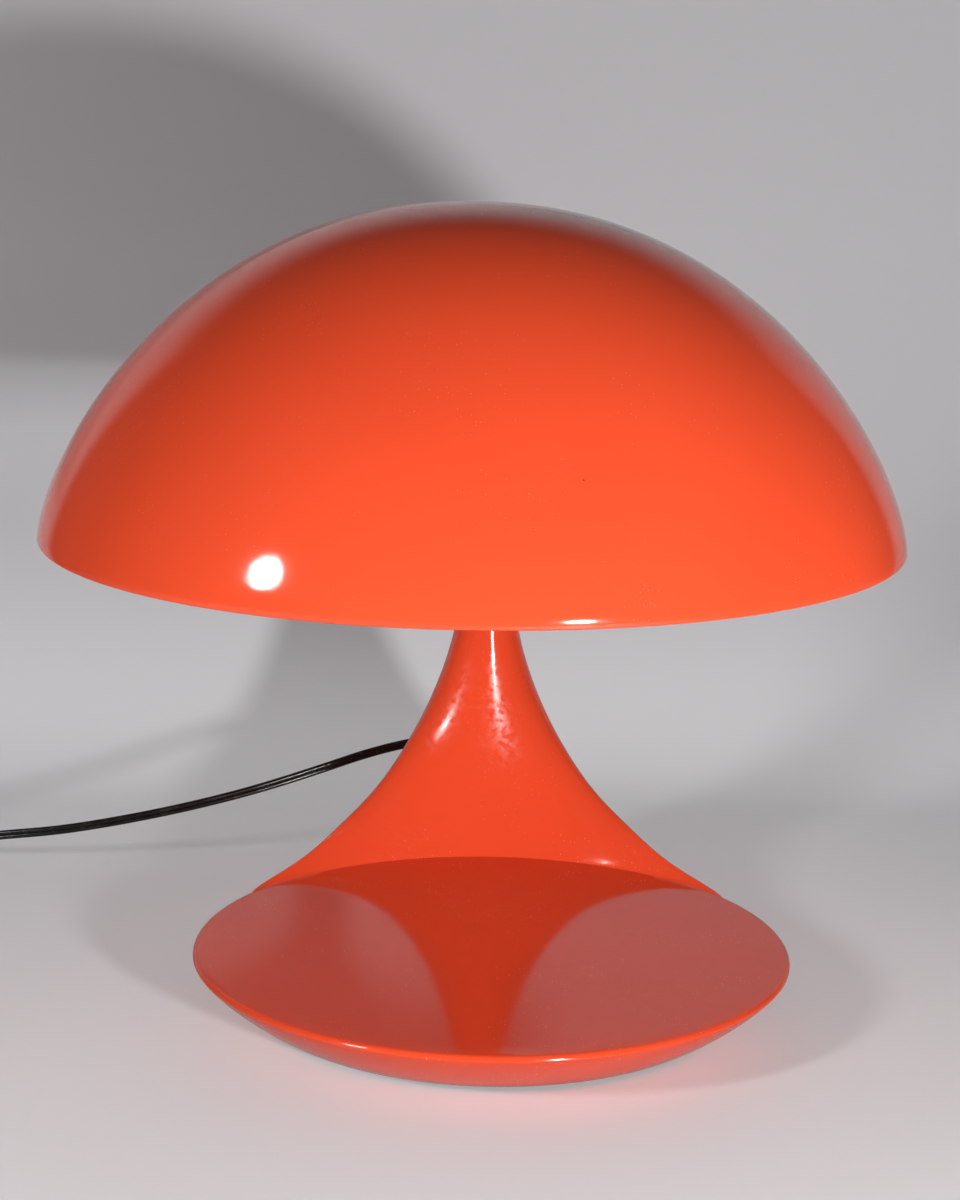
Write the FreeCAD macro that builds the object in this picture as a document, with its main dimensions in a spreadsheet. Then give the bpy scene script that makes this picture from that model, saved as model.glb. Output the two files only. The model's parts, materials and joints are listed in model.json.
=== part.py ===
import FreeCAD, Part

import math
import os
import re

import Sketcher

"""Table lamp with a swivelling dome head on a plate-topped foot.

Millimetres, +Z up. The origin is on the table under the middle of the round plate. The neck stands
behind the plate, at +Y, and the shade reaches forward over the plate, towards -Y.
"""

Vector = FreeCAD.Vector

# Driving dimensions, one row each: alias, value.
SIZES = {
    # foot
    "plate_radius": 150.0,
    "plate_height": 30.0,
    "plate_edge": 2.5,
    "bowl_foot_radius": 118.0,
    "foot_gap": 2.5,
    "shell_wall": 3.2,
    "crease_radius": 145.5,
    # stem
    "neck_offset": 192.0,
    "neck_radius": 13.8,
    "waist_height": 195.0,
    "stem_spread": 75.0,
    "stem_toe_spread": 25.0,
    "tip_drawn_in": 3.5,
    "stem_back_reach": 215.0,
    "stem_back_height": 108.0,
    "neck_floor": 7.0,
    # head
    "shade_radius": 200.0,
    "neck_behind_shade": 55.0,
    "shade_height": 153.0,
    "shade_wall": 3.0,
    "rim_rise": 58.0,
    "head_floor": 5.0,
    "head_turn": -3.3,
    "tail_spread": 61.2,
    "tail_merge": 97.0,
    "tail_power": 1.7,
    # swivel
    "tube_radius": 5.0,
    "tube_bore": 4.0,
    "tube_flat": 4.3,
    "tube_tail": 4.0,
    "tube_thread_end": 1.0,
    "tube_hole_play": 0.1,
    "running_fit": 0.05,
    "bush_radius": 7.0,
    "bush_flange_radius": 8.0,
    "bush_flange": 1.5,
    "washer_thickness": 1.0,
    "wave_height": 1.5,
    "stop_washer_thickness": 1.2,
    "stop_tab_radius": 10.3,
    "stop_tab_width": 3.0,
    "stop_pin_radius": 1.0,
    "stop_pin_circle": 9.4,
    "stop_pin_drop": 4.0,
    "nut_flats": 13.0,
    "nut_height": 4.0,
    # underside
    "cover_radius": 113.0,
    "cover_thickness": 1.2,
    "cover_recess": 1.0,
    "foot_pad_radius": 111.0,
    "ballast_radius": 80.0,
    "ballast_thickness": 13.5,
    "boss_radius": 14.0,
    "boss_drop": 5.0,
    "stud_radius": 4.0,
    "stud_play": 0.3,
    "stud_nut_height": 6.5,
    "stud_tail": 0.6,
    "pocket_radius": 12.0,
    "pocket_depth": 8.0,
    "screw_circle": 90.0,
    "screw_boss_radius": 4.2,
    "screw_radius": 1.5,
    "screw_head_radius": 3.2,
    "screw_head": 1.4,
    "screw_play": 0.3,
    "screw_depth": 12.0,
    "small_screw_radius": 1.4,
    # wiring
    "flex_diameter": 5.4,
    "lead_diameter": 5.0,
    "cord_height": 70.0,
    "cord_inner_height": 19.5,
    "grommet_radius": 7.0,
    "grommet_reach": 207.0,
    "clamp_width": 24.0,
    "clamp_depth": 9.0,
    "clamp_thickness": 2.0,
    "clamp_reach": 121.0,
    "clamp_screw_offset": 8.0,
    "block_width": 36.0,
    "block_depth": 12.0,
    "block_height": 13.0,
    "block_reach": 102.0,
    # lampholder and bulb
    "holder_rise": 52.0,
    "holder_reach": 96.0,
    "arm_drop": 33.0,
    "strip_knee_reach": 28.0,
    "knee_drop": 7.0,
    "bend_clear": 4.0,
    "foot_strip_front": 9.5,
    "foot_strip_back": 6.0,
    "strip_thickness": 2.0,
    "strip_width": 16.0,
    "strip_end": 24.0,
    "holder_radius": 20.0,
    "holder_length": 58.0,
    "cap_length": 20.0,
    "insert_thickness": 6.0,
    "nipple_reach": 6.5,
    "contact_height": 3.5,
    "bulb_radius": 30.0,
    "bulb_cap_radius": 13.2,
    "bulb_cap_length": 26.0,
    # in-line switch
    "switch_length": 64.0,
    "switch_width": 26.0,
    "switch_height": 17.0,
    "switch_nose": 13.0,
    "switch_taper": 9.0,
    "switch_wall": 2.0,
    "switch_end": 12.0,
    "switch_recess": 2.6,
    "window_length": 25.0,
    "window_width": 12.0,
    "rocker_length": 22.0,
    "rocker_below": 1.5,
    "rocker_above": 6.2,
    "rocker_play": 0.35,
    "rocker_tilt": 8.0,
    "axle_radius": 1.2,
    "pivot_height": 12.0,
    # plug
    "plug_length": 36.0,
    "plug_width": 25.0,
    "plug_neck": 10.0,
    "plug_thickness": 13.7,
    "plug_pin_radius": 2.0,
    "plug_pin_length": 19.0,
    "plug_pin_spacing": 18.6,
}

# Sizes that follow from those above.
DERIVED = {
    "head_reach": "shade_radius + neck_behind_shade",
    "rim_height": "waist_height + rim_rise",
    "bracket_height": "waist_height + head_floor + 2 * washer_thickness + nut_height",
    "bracket_nut_top": "bracket_height + strip_thickness + nut_height",
    "tube_top_height": "bracket_nut_top + tube_thread_end",
    "strip_bend_height": "bracket_nut_top + bend_clear",
    "strip_knee_height": "rim_height - knee_drop",
    "holder_height": "rim_height + holder_rise",
    "arm_height": "holder_height - arm_drop",
}

doc = FreeCAD.newDocument("table_lamp")
sheet = doc.addObject("Spreadsheet::Sheet", "Sizes")
for row, (alias, value) in enumerate(SIZES.items(), start=1):
    sheet.set(f"A{row}", str(value))
    sheet.setAlias(f"A{row}", alias)
for row, (alias, formula) in enumerate(DERIVED.items(), start=1):
    sheet.set(f"B{row}", "=" + formula)
    sheet.setAlias(f"B{row}", alias)
doc.recompute()


def size(expression):
    """Return the value of an expression in the sheet's aliases."""
    return float(sheet.evalExpression(bound(expression)))


def bound(expression):
    """Write an expression in aliases as one that a property can hold."""
    return re.sub(r"\b([a-z]+(?:_[a-z]+)+)\b", r"Sizes.\1", str(expression))


def origin_plane(body, role):
    """Return one of a body's own origin planes."""
    return [item for item in body.Origin.OriginFeatures if item.Role == role][0]


def new_body(name):
    """Start a body whose label is the name of its sub-part."""
    body = doc.addObject("PartDesign::Body", name)
    body.Label = name
    return body


def outline_sketch(body, points, role):
    """Draw a closed outline of straight lines, each corner bound to the sheet."""
    sketch = body.newObject("Sketcher::SketchObject", body.Name + "_outline")
    sketch.AttachmentSupport = (origin_plane(body, role), [""])
    sketch.MapMode = "FlatFace"
    corners = [Vector(size(across), size(up), 0) for across, up in points]
    count = len(corners)
    for index in range(count):
        sketch.addGeometry(Part.LineSegment(corners[index], corners[(index + 1) % count]), False)
    for index in range(count):
        sketch.addConstraint(Sketcher.Constraint("Coincident", index, 2, (index + 1) % count, 1))
    for index, (across, up) in enumerate(points):
        for kind, expression, value in (
            ("DistanceX", across, corners[index].x),
            ("DistanceY", up, corners[index].y),
        ):
            added = sketch.addConstraint(Sketcher.Constraint(kind, -1, 1, index, 1, value))
            sketch.setExpression(f"Constraints[{added}]", bound(expression))
    return sketch


def turned(name, points):
    """Turn an outline of (radius, height) corners about the Z axis."""
    body = new_body(name)
    sketch = outline_sketch(body, points, "XZ_Plane")
    turning = body.newObject("PartDesign::Revolution", name + "_turning")
    turning.Profile = sketch
    turning.ReferenceAxis = (sketch, ["V_Axis"])
    turning.Angle = 360
    body.Tip = turning
    return body


def ring(name, bore, radius, bottom, top):
    """Turn a plain ring."""
    return turned(name, [(bore, bottom), (radius, bottom), (radius, top), (bore, top)])


def padded(name, points, bottom, height, role="XY_Plane", midplane=False):
    """Pad an outline of straight lines, from a height up or to both sides of its plane."""
    body = new_body(name)
    sketch = outline_sketch(body, points, role)
    if bottom is not None:
        sketch.setExpression("AttachmentOffset.Base.z", bound(bottom))
    pad = body.newObject("PartDesign::Pad", name + "_pad")
    pad.Profile = sketch
    pad.setExpression("Length", bound(height))
    if midplane:
        pad.SideType = "Symmetric"
    body.Tip = pad
    return body


def hexagon_nut(name, flats, bore, bottom, height):
    """Make a hexagon nut with a plain bore."""
    body = new_body(name)
    sketch = body.newObject("Sketcher::SketchObject", name + "_outline")
    sketch.AttachmentSupport = (origin_plane(body, "XY_Plane"), [""])
    sketch.MapMode = "FlatFace"
    corner = size(flats) / math.sqrt(3)
    points = [
        Vector(corner * math.cos(math.radians(60 * k)), corner * math.sin(math.radians(60 * k)), 0)
        for k in range(6)
    ]
    for index in range(6):
        sketch.addGeometry(Part.LineSegment(points[index], points[(index + 1) % 6]), False)
    for index in range(6):
        sketch.addConstraint(Sketcher.Constraint("Coincident", index, 2, (index + 1) % 6, 1))
    for index in range(6):
        for kind, cosine in (("DistanceX", math.cos), ("DistanceY", math.sin)):
            factor = cosine(math.radians(60 * index)) / math.sqrt(3)
            value = getattr(points[index], kind[-1].lower())
            added = sketch.addConstraint(Sketcher.Constraint(kind, -1, 1, index, 1, value))
            sketch.setExpression(f"Constraints[{added}]", f"{bound(flats)} * {factor:.9f}")
    circle = sketch.addGeometry(Part.Circle(Vector(0, 0, 0), Vector(0, 0, 1), size(bore)), False)
    sketch.addConstraint(Sketcher.Constraint("Coincident", circle, 3, -1, 1))
    added = sketch.addConstraint(Sketcher.Constraint("Radius", circle, size(bore)))
    sketch.setExpression(f"Constraints[{added}]", bound(bore))
    sketch.setExpression("AttachmentOffset.Base.z", bound(bottom))
    pad = body.newObject("PartDesign::Pad", name + "_pad")
    pad.Profile = sketch
    pad.setExpression("Length", bound(height))
    body.Tip = pad
    return body


def shaped(name, shape):
    """Keep a free-form shape under a name."""
    item = doc.addObject("Part::Feature", name)
    item.Label = name
    item.Shape = shape
    return item


def turned_solid(outline):
    """Turn a closed wire in the XZ plane about the Z axis."""
    return Part.Face(outline).revolve(Vector(0, 0, 0), Vector(0, 0, 1), 360)


def cylinder(radius, bottom, top, across=0.0, along=0.0):
    """Return an upright cylinder between two heights."""
    return Part.makeCylinder(radius, top - bottom, Vector(across, along, bottom))


def box(low, high):
    """Return a box between two corners."""
    return Part.makeBox(high[0] - low[0], high[1] - low[1], high[2] - low[2], Vector(*low))


# The collar: level sections of the flare that joins a disc to the neck behind it.


def collar_wire(height, front, back, tip, lean, tip_half, back_handle, inset=0.0):
    """Return one level section: a bent oval of four curves, symmetrical about the YZ plane.

    front and back are its middle points, tip is its right end, lean turns that end towards the
    front, tip_half is half the thickness there and back_handle the length of the back's bend.
    inset draws the whole outline inwards.
    """
    outward = Vector(math.cos(lean), -math.sin(lean), 0)
    across = Vector(math.sin(lean), math.cos(lean), 0)
    front_middle = Vector(0, front + inset, 0)
    back_middle = Vector(0, back - inset, 0)
    end = Vector(tip[0], tip[1], 0) - outward * inset * (1 + 1.5 * math.sin(lean))
    bend = 0.5523
    front_curve = [
        front_middle,
        front_middle + Vector(end.x * bend, 0, 0),
        end - across * bend * max(tip_half - inset, 1.2),
        end,
    ]
    back_curve = [
        end,
        end + across * max(back_handle - bend * inset, 1.2),
        back_middle + Vector(end.x * bend, 0, 0),
        back_middle,
    ]
    mirrored = [[Vector(-p.x, p.y, 0) for p in reversed(curve)] for curve in (back_curve, front_curve)]
    edges = []
    for curve in (front_curve, back_curve, mirrored[0], mirrored[1]):
        bezier = Part.BezierCurve()
        bezier.setPoles([p + Vector(0, 0, height) for p in curve])
        edges.append(bezier.toShape())
    return Part.Wire(edges)


def quarter(value, power):
    """Return a rounded quarter from 0 to 1: a superellipse of that power."""
    return (1 - (1 - value) ** power) ** (1 / power)


def bowl_radius(height):
    """Return the radius of the bowl's outside at a height."""
    top = size("plate_height - plate_edge")
    share = (height - size("foot_gap")) / (top - size("foot_gap"))
    return size("bowl_foot_radius") + size("plate_radius - bowl_foot_radius") * quarter(share, 1.15)


def stem_back(height):
    """Return how far back the stem reaches at a height."""
    foot, reach, widest = size("bowl_foot_radius - 4"), size("stem_back_reach"), size("stem_back_height")
    if height < widest:
        share = (height - size("foot_gap")) / (widest - size("foot_gap"))
        return foot + (reach - foot) * quarter(max(0.0, share), 1.8)
    rise = (height - widest) / (size("waist_height") - widest)
    neck = size("neck_offset + neck_radius")
    return neck + (reach - neck) * (1 + math.cos(math.pi * rise)) / 2


def stem_wire(height, inset=0.0):
    """Return a level section of the stem."""
    plate, waist = size("plate_height"), size("waist_height")
    share = (waist - max(height, plate)) / (waist - plate)
    neck, offset = size("neck_radius"), size("neck_offset")
    front = offset - neck - (offset - neck - size("crease_radius")) * share**1.45
    back = stem_back(height)
    lean = math.radians(50) * share**4
    half = neck + size("stem_spread") * share**2.2 + size("stem_toe_spread") * share**9
    widest = offset - (offset - 113.0) * share**4.4
    tip = (half - 3 * math.sin(lean), widest - 10 * math.sin(lean))
    drawn_in = 1 - size("tip_drawn_in") * share**12 / math.hypot(*tip)
    tip = (tip[0] * drawn_in, tip[1] * drawn_in)
    tip_half = (back - front) / 2 * (1 - share**2) + 2.5 * share**2
    back_handle = 0.5523 * (back - tip[1]) * (1 - share**2) + 2.5 * share**2
    if height < plate:
        depth = (plate - height) / (plate - size("foot_gap"))
        angle = math.atan2(tip[0], tip[1])
        outside = math.hypot(*tip) - size("plate_radius")
        radius = bowl_radius(min(height, plate - size("plate_edge"))) + outside - 8 * min(1.0, depth * 2)
        tip = (radius * math.sin(angle), radius * math.cos(angle))
        front = front - 70 * depth
    return collar_wire(height, front, back, tip, lean, tip_half, back_handle, inset)


def shade_radius_at(rise, radius, height):
    """Return the shade's radius at a rise above its rim."""
    return radius * max(0.0, 1 - (rise / height) ** 1.46) ** (1 / 2.15)


def dome_solid(radius, height, bottom, skirt=0.0):
    """Return the solid dome, on a straight skirt where one is given."""
    steps = 12
    points = []
    for step in range(steps + 1):
        rise = height * math.sin(math.pi / 2 * step / steps)
        points.append(Vector(shade_radius_at(rise, radius, height), 0, bottom + rise))
    points[-1] = Vector(0, 0, bottom + height)
    curve = Part.BSplineCurve()
    curve.interpolate(Points=points, InitialTangent=Vector(0, 0, 1), FinalTangent=Vector(-1, 0, 0))
    low = Vector(radius, 0, bottom - skirt)
    middle = Vector(0, 0, bottom - skirt)
    edges = [curve.toShape(), Part.makeLine(points[-1], middle), Part.makeLine(middle, low)]
    if skirt:
        edges.append(Part.makeLine(low, points[0]))
    return turned_solid(Part.Wire(Part.__sortEdges__(edges)))


def head_wire(height, inset=0.0, open_front=False):
    """Return a level section of the back of the head."""
    low, rim = size("waist_height + washer_thickness"), size("rim_height")
    neck, reach = size("neck_radius"), size("head_reach")
    radius, crown = size("shade_radius"), size("shade_height")
    above = height - rim
    rise = min(1.0, (height - low) / (rim - low))
    merge = size("tail_merge")
    meeting = shade_radius_at(merge, radius, crown)
    climb = (height - low) / (rim + merge - low)
    back = reach + neck - (reach + neck - meeting) * climb ** size("tail_power")
    front = reach - neck - (reach - neck - radius + size("shade_wall")) * rise**1.6
    half = neck + size("tail_spread") * rise**2.3
    rim_tip = math.sqrt((radius + 1.5) ** 2 - size("neck_radius + tail_spread") ** 2)
    widest = reach - (reach - rim_tip) * rise**1.6
    lean = math.atan2(half, widest) * rise**3
    if height > rim:
        outward = shade_radius_at(above, radius, crown) + 1.5 - 0.2 * above
        angle = math.atan2(half, widest) + math.radians(0.34 * above)
        half, widest, lean = outward * math.sin(angle), outward * math.cos(angle), angle
        front = front - above
    tip_half = (back - front) / 2 * (1 - rise**2) + 2.5 * rise**2
    handle = 0.5523 * (back - widest) * (1 - rise**2) + 2.5 * rise**2
    if open_front:
        front = front - 30
    return collar_wire(height, front, back, (half, widest), lean, tip_half, handle, inset)


def levels(low, high, count):
    """Return evenly spaced heights."""
    return [low + (high - low) * step / (count - 1) for step in range(count)]


def base_shell():
    """Mould the plate, bowl and stem: one shell, open below and closed by a floor at the waist."""
    plate, gap = size("plate_height"), size("foot_gap")
    edge, wall = size("plate_edge"), size("shell_wall")
    outer_top = plate - edge
    side = [Vector(bowl_radius(z), 0, z) for z in levels(gap, outer_top, 7)]
    curve = Part.BSplineCurve()
    curve.interpolate(side)
    brow = Part.Arc(
        side[-1],
        Vector(size("plate_radius") - edge * (1 - math.sqrt(0.5)), 0, plate - edge * (1 - math.sqrt(0.5))),
        Vector(size("plate_radius") - edge, 0, plate),
    )
    bowl = turned_solid(Part.Wire([
        Part.makeLine(Vector(0, 0, gap), side[0]),
        curve.toShape(),
        brow.toShape(),
        Part.makeLine(Vector(size("plate_radius") - edge, 0, plate), Vector(0, 0, plate)),
        Part.makeLine(Vector(0, 0, plate), Vector(0, 0, gap)),
    ]))
    waist = size("waist_height")
    heights = [gap, 5, 9, 15, 22] + levels(plate, 62, 6) + levels(62, 118, 5)[1:] + levels(118, waist, 6)[1:]
    stem = Part.makeLoft([stem_wire(z) for z in heights], True, False)
    outside = bowl.fuse(stem)
    inner_side = [Vector(bowl_radius(z) - 1.25 * wall, 0, z) for z in levels(gap, outer_top, 7)]
    inner_curve = Part.BSplineCurve()
    inner_curve.interpolate(inner_side)
    low = Vector(inner_side[0].x, 0, gap - 2)
    top = plate - wall
    cavity = turned_solid(Part.Wire([
        Part.makeLine(Vector(0, 0, gap - 2), low),
        Part.makeLine(low, inner_side[0]),
        inner_curve.toShape(),
        Part.makeLine(inner_side[-1], Vector(0, 0, inner_side[-1].z)),
        Part.makeLine(Vector(0, 0, inner_side[-1].z), Vector(0, 0, gap - 2)),
    ])).common(cylinder(size("plate_radius"), gap - 2, top))
    floor = size("waist_height - neck_floor")
    inner_heights = [9, 15, 22] + levels(plate, 62, 6) + levels(62, 118, 5)[1:] + levels(118, floor, 6)[1:]
    hollow = Part.makeLoft([stem_wire(z, wall) for z in inner_heights], True, False)
    return outside.cut(cavity).cut(hollow)


def head_shell():
    """Mould the shade and the upper half of the neck: one shell, open below the rim."""
    radius, height = size("shade_radius"), size("shade_height")
    rim, wall = size("rim_height"), size("shade_wall")
    low = size("waist_height + washer_thickness")
    top = rim + size("tail_merge") + 18
    dome = dome_solid(radius, height, rim)
    tail = Part.makeLoft([head_wire(z) for z in levels(low, rim, 8) + levels(rim, top, 10)[1:]], True, False)
    outside = dome.fuse(tail)
    cavity = dome_solid(radius - wall, height - wall, rim, 2.0)
    cavity = cavity.common(box((-300, -300, rim - 0.01), (300, 300, rim + 300)))
    floor = low + size("head_floor")
    funnel = Part.makeLoft([head_wire(z, wall) for z in levels(floor, rim, 8)], True, False)
    pocket = Part.makeLoft([head_wire(z, wall, True) for z in levels(rim, top - 22, 8)], True, False)
    return outside.cut(cavity).cut(funnel).cut(pocket)


# Placing, cutting and grouping.

PARTS = {}


def keep(item):
    """Hand a document object over as a sub-part under its label."""
    PARTS[item.Label] = item
    return item


def frame_text(x="0", y="0", z="0", axis="0; 0; 1", angle="0"):
    """Write a placement whose numbers follow the sheet."""
    return (
        f"create(<<placement>>; create(<<vector>>; {bound(x)}; {bound(y)}; {bound(z)}); "
        f"create(<<rotation>>; create(<<vector>>; {axis}); {bound(angle)}))"
    )


AT_NECK = frame_text(y="neck_offset")
IN_HEAD = frame_text(y="neck_offset", angle="head_turn")
IN_HOLDER = IN_HEAD + " * " + frame_text(y="-holder_reach", z="holder_height", axis="1; 0; 0", angle="90")


def place(item, *frames):
    """Put an object where a chain of placements says."""
    item.setExpression("Placement", " * ".join(frames))
    return item


def primitive(kind, name, *frames, **values):
    """Add a plain solid with bound sizes."""
    item = doc.addObject("Part::" + kind, name)
    for key, expression in values.items():
        item.setExpression(key, bound(expression))
    if frames:
        place(item, *frames)
    return item


def rod(name, radius, bottom, height, x="0", y="0"):
    """Add an upright rod."""
    return primitive("Cylinder", name, frame_text(x, y, bottom), Radius=radius, Height=height)


def block(name, low, extent):
    """Add a block from its low corner and its size along each axis."""
    return primitive("Box", name, frame_text(*low), Length=extent[0], Width=extent[1], Height=extent[2])


def cut(name, stock, *tools):
    """Cut tools out of an object."""
    item = doc.addObject("Part::Cut", name)
    item.Label = name
    item.Base = stock
    if len(tools) == 1:
        item.Tool = tools[0]
    else:
        merged = doc.addObject("Part::MultiFuse", name + "_tools")
        merged.Shapes = list(tools)
        item.Tool = merged
    return item


def group(name, solids, *frames):
    """Keep a set of like pieces as separate solids in one sub-part."""
    item = shaped(name, Part.makeCompound(solids))
    if frames:
        place(item, *frames)
    return keep(item)


def screw(head_radius, shank_radius, head_bottom, seat, tip, x=0.0, y=0.0):
    """Return a screw standing head down."""
    head = cylinder(head_radius, head_bottom, seat, x, y)
    return head.fuse(cylinder(shank_radius, seat, tip, x, y)).removeSplitter()


def corners(circle, count=4, start=45.0):
    """Return evenly spaced points on a circle."""
    angles = [math.radians(start + 360.0 * k / count) for k in range(count)]
    return [(circle * math.cos(a), circle * math.sin(a)) for a in angles]


# Cords and leads: straight runs joined by tangent arcs, and a coil of half turns.


def rounded_path(points):
    """Return the wire of a route and the radii of its bends."""
    points = [Vector(*p) for p in points]
    edges, radii = [], []
    start = points[0]
    for before, corner, after in zip(points, points[1:], points[2:]):
        incoming = (corner - before).normalize()
        outgoing = (after - corner).normalize()
        half_turn = incoming.getAngle(outgoing) / 2
        reach = 0.45 * min((corner - before).Length, (after - corner).Length)
        radius = reach / math.tan(half_turn)
        inward = (outgoing - incoming).normalize()
        centre = corner + inward * (radius / math.cos(half_turn))
        first = corner - incoming * reach
        last = corner + outgoing * reach
        edges.append(Part.LineSegment(start, first).toShape())
        edges.append(Part.Arc(first, centre - inward * radius, last).toShape())
        radii.append(radius)
        start = last
    edges.append(Part.LineSegment(start, points[-1]).toShape())
    return Part.Wire(edges), radii


def tube_along(wire, diameter):
    """Sweep a round section along a wire."""
    first = wire.Edges[0]
    start = first.valueAt(first.FirstParameter)
    heading = first.tangentAt(first.FirstParameter)
    ring_edge = Part.makeCircle(diameter / 2, start, heading)
    return wire.makePipeShell([Part.Wire([ring_edge])], True, False)


def cord_tube(name, points, diameter):
    """Keep a cord and print its radii, its volume and its section times its length."""
    wire, radii = rounded_path(points)
    solid = tube_along(wire, diameter)
    expected = math.pi * diameter**2 / 4 * wire.Length
    print(name, "radii", [round(r, 1) for r in radii])
    print(name, "length", round(wire.Length, 1), "volume", round(solid.Volume), "of", round(expected))
    return keep(shaped(name, solid))


def climbing_arcs(start, end, centre):
    """Return the two arcs that climb half a turn from start to end about a centre."""
    radial = Vector(start.x - centre.x, start.y - centre.y, 0)
    side = Vector(-radial.y, radial.x, 0).normalize()
    rise = (end.z - start.z) / 2
    reach = math.sqrt(radial.Length**2 + rise**2)
    middle = Vector(centre.x, centre.y, start.z + rise) + side * reach
    arcs = []
    for a, b, tangent in ((start, middle, side), (end, middle, side)):
        chord = b - a
        along = Vector(chord).normalize()
        bend = tangent.getAngle(chord)
        normal = (tangent - along * tangent.dot(along)).normalize()
        crest = a + chord * 0.5 + normal * (chord.Length / 2 * math.tan(bend / 2))
        arcs.append((a, crest, b) if a is start else (b, crest, a))
    return [Part.Arc(*points).toShape() for points in arcs]


def coil_wire(centre, inner, pitch, turns, low, layer_gap, diameter):
    """Return the wire of a coil in two layers that spirals in, climbs and spirals out."""
    half_turns = 2 * turns
    reach = inner + half_turns * pitch / 2
    point = Vector(centre[0], centre[1] + reach, low)
    edges = [Part.LineSegment(point + Vector(diameter, 0, 0), point).toShape()]
    side = 1
    steps = [-pitch / 2] * half_turns + [0.0] + [pitch / 2] * half_turns
    for step in steps:
        new_reach = reach + step
        if step:
            target = Vector(centre[0], centre[1] - side * new_reach, point.z)
            middle_y = (point.y + target.y) / 2
            radius = (reach + new_reach) / 2
            crest = Vector(centre[0] - side * radius, middle_y, point.z)
            edges.append(Part.Arc(point, crest, target).toShape())
        else:
            target = Vector(centre[0], centre[1] - side * new_reach, point.z + layer_gap)
            edges.extend(climbing_arcs(point, target, Vector(centre[0], centre[1], 0)))
        point, reach, side = target, new_reach, -side
    edges.append(Part.LineSegment(point, point + Vector(side * -diameter, 0, 0)).toShape())
    return Part.Wire(edges)


def least_gap(wire, diameter):
    """Return the least gap between parts of a coil more than half a turn apart."""
    points = wire.discretize(Number=1500)
    spacing = wire.Length / 1499
    skip = int(70.0 / spacing)
    least = 1e9
    for i in range(0, len(points), 2):
        for j in range(i + skip, len(points)):
            least = min(least, points[i].distanceToPoint(points[j]))
    return least - diameter


# Foot and stem.


def ballast_pads(shell):
    """Add the bosses under the plate and drill the shell for what is fastened to it."""
    under = size("plate_height - shell_wall")
    shell = shell.fuse(cylinder(size("boss_radius"), under - size("boss_drop"), under + 0.5))
    cover_top = size("foot_gap + cover_recess + cover_thickness")
    for x, y in corners(size("screw_circle")):
        shell = shell.fuse(cylinder(size("screw_boss_radius"), cover_top, under + 0.5, x, y))
        shell = shell.cut(cylinder(size("screw_radius"), cover_top - 1, cover_top + size("screw_depth"), x, y))
    seat_low = size("cord_inner_height + flex_diameter / 2")
    half, depth = size("clamp_width / 2"), size("clamp_depth")
    front = size("clamp_reach")
    shell = shell.fuse(box((-half, front, seat_low), (half, front + depth, under + 0.5)))
    for x in (-size("clamp_screw_offset"), size("clamp_screw_offset")):
        shell = shell.cut(cylinder(size("small_screw_radius"), seat_low - 1, seat_low + 5, x, front + depth / 2))
    block_y = size("block_reach + block_depth / 2")
    shell = shell.cut(cylinder(size("small_screw_radius"), under - 1, under + 1.8, 0, block_y))
    shell = shell.cut(cylinder(size("stud_radius"), under - 20, under + 0.2))
    neck, waist = size("neck_offset"), size("waist_height")
    shell = shell.cut(cylinder(size("bush_radius"), waist - 10, waist + 1, 0, neck))
    pin_y = neck - size("stop_pin_circle")
    floor = waist - size("neck_floor")
    shell = shell.cut(cylinder(size("stop_pin_radius"), floor - 1, floor + 4, 0, pin_y))
    back = size("grommet_reach")
    plug = Part.makeCylinder(size("grommet_radius"), 14, Vector(0, back - 12, size("cord_height")), Vector(0, 1, 0))
    return shell.cut(plug).removeSplitter()


def head_details(shell):
    """Drill the head's floor for the tube."""
    low = size("waist_height + washer_thickness")
    hole = cylinder(size("tube_radius + tube_hole_play"), low - 1, low + size("head_floor") + 1)
    return shell.cut(hole)


keep(shaped("base_shell", ballast_pads(base_shell())))
head = head_shell()
head.translate(Vector(0, -size("head_reach"), 0))
keep(place(shaped("head_shell", head_details(head)), IN_HEAD))

cover = rod("cover_plate", "cover_radius", "foot_gap + cover_recess", "cover_thickness")
cover_holes = [
    rod(f"cover_hole_{k}", "screw_radius + screw_play", "foot_gap", "cover_recess + cover_thickness + 1",
        f"screw_circle * cos({angle})", f"screw_circle * sin({angle})")
    for k, angle in enumerate((45, 135, 225, 315))
]
keep(cut("base_cover", cover, *cover_holes))

pad_stock = rod("pad_stock", "foot_pad_radius", "0", "foot_gap + cover_recess")
pad_holes = [
    rod(f"pad_hole_{k}", "screw_head_radius + 1.5", "0 - 1", "foot_gap + cover_recess + 2",
        f"screw_circle * cos({angle})", f"screw_circle * sin({angle})")
    for k, angle in enumerate((45, 135, 225, 315))
]
keep(cut("foot_pad", pad_stock, *pad_holes))

seat = size("foot_gap + cover_recess")
group("cover_screws", [
    screw(size("screw_head_radius"), size("screw_radius"), seat - size("screw_head"), seat,
          seat + size("cover_thickness + screw_depth - 1"), x, y)
    for x, y in corners(size("screw_circle"))
])

ballast_top = "plate_height - shell_wall - boss_drop"
ballast_low = ballast_top + " - ballast_thickness"
pocket_top = ballast_low + " + pocket_depth"
keep(turned("ballast_weight", [
    ("stud_radius + stud_play", pocket_top),
    ("pocket_radius", pocket_top),
    ("pocket_radius", ballast_low),
    ("ballast_radius", ballast_low),
    ("ballast_radius", ballast_top),
    ("stud_radius + stud_play", ballast_top),
]))
keep(ring("ballast_washer", "stud_radius + stud_play", "pocket_radius - 1", pocket_top + " - washer_thickness",
          pocket_top))
keep(hexagon_nut("ballast_nut", "nut_flats", "stud_radius", pocket_top + " - washer_thickness - stud_nut_height",
                 "stud_nut_height"))
stud_low = pocket_top + " - washer_thickness - stud_nut_height - stud_tail"
stud = rod("ballast_stud", "stud_radius", stud_low, f"plate_height - shell_wall + 0.2 - ({stud_low})")
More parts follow.
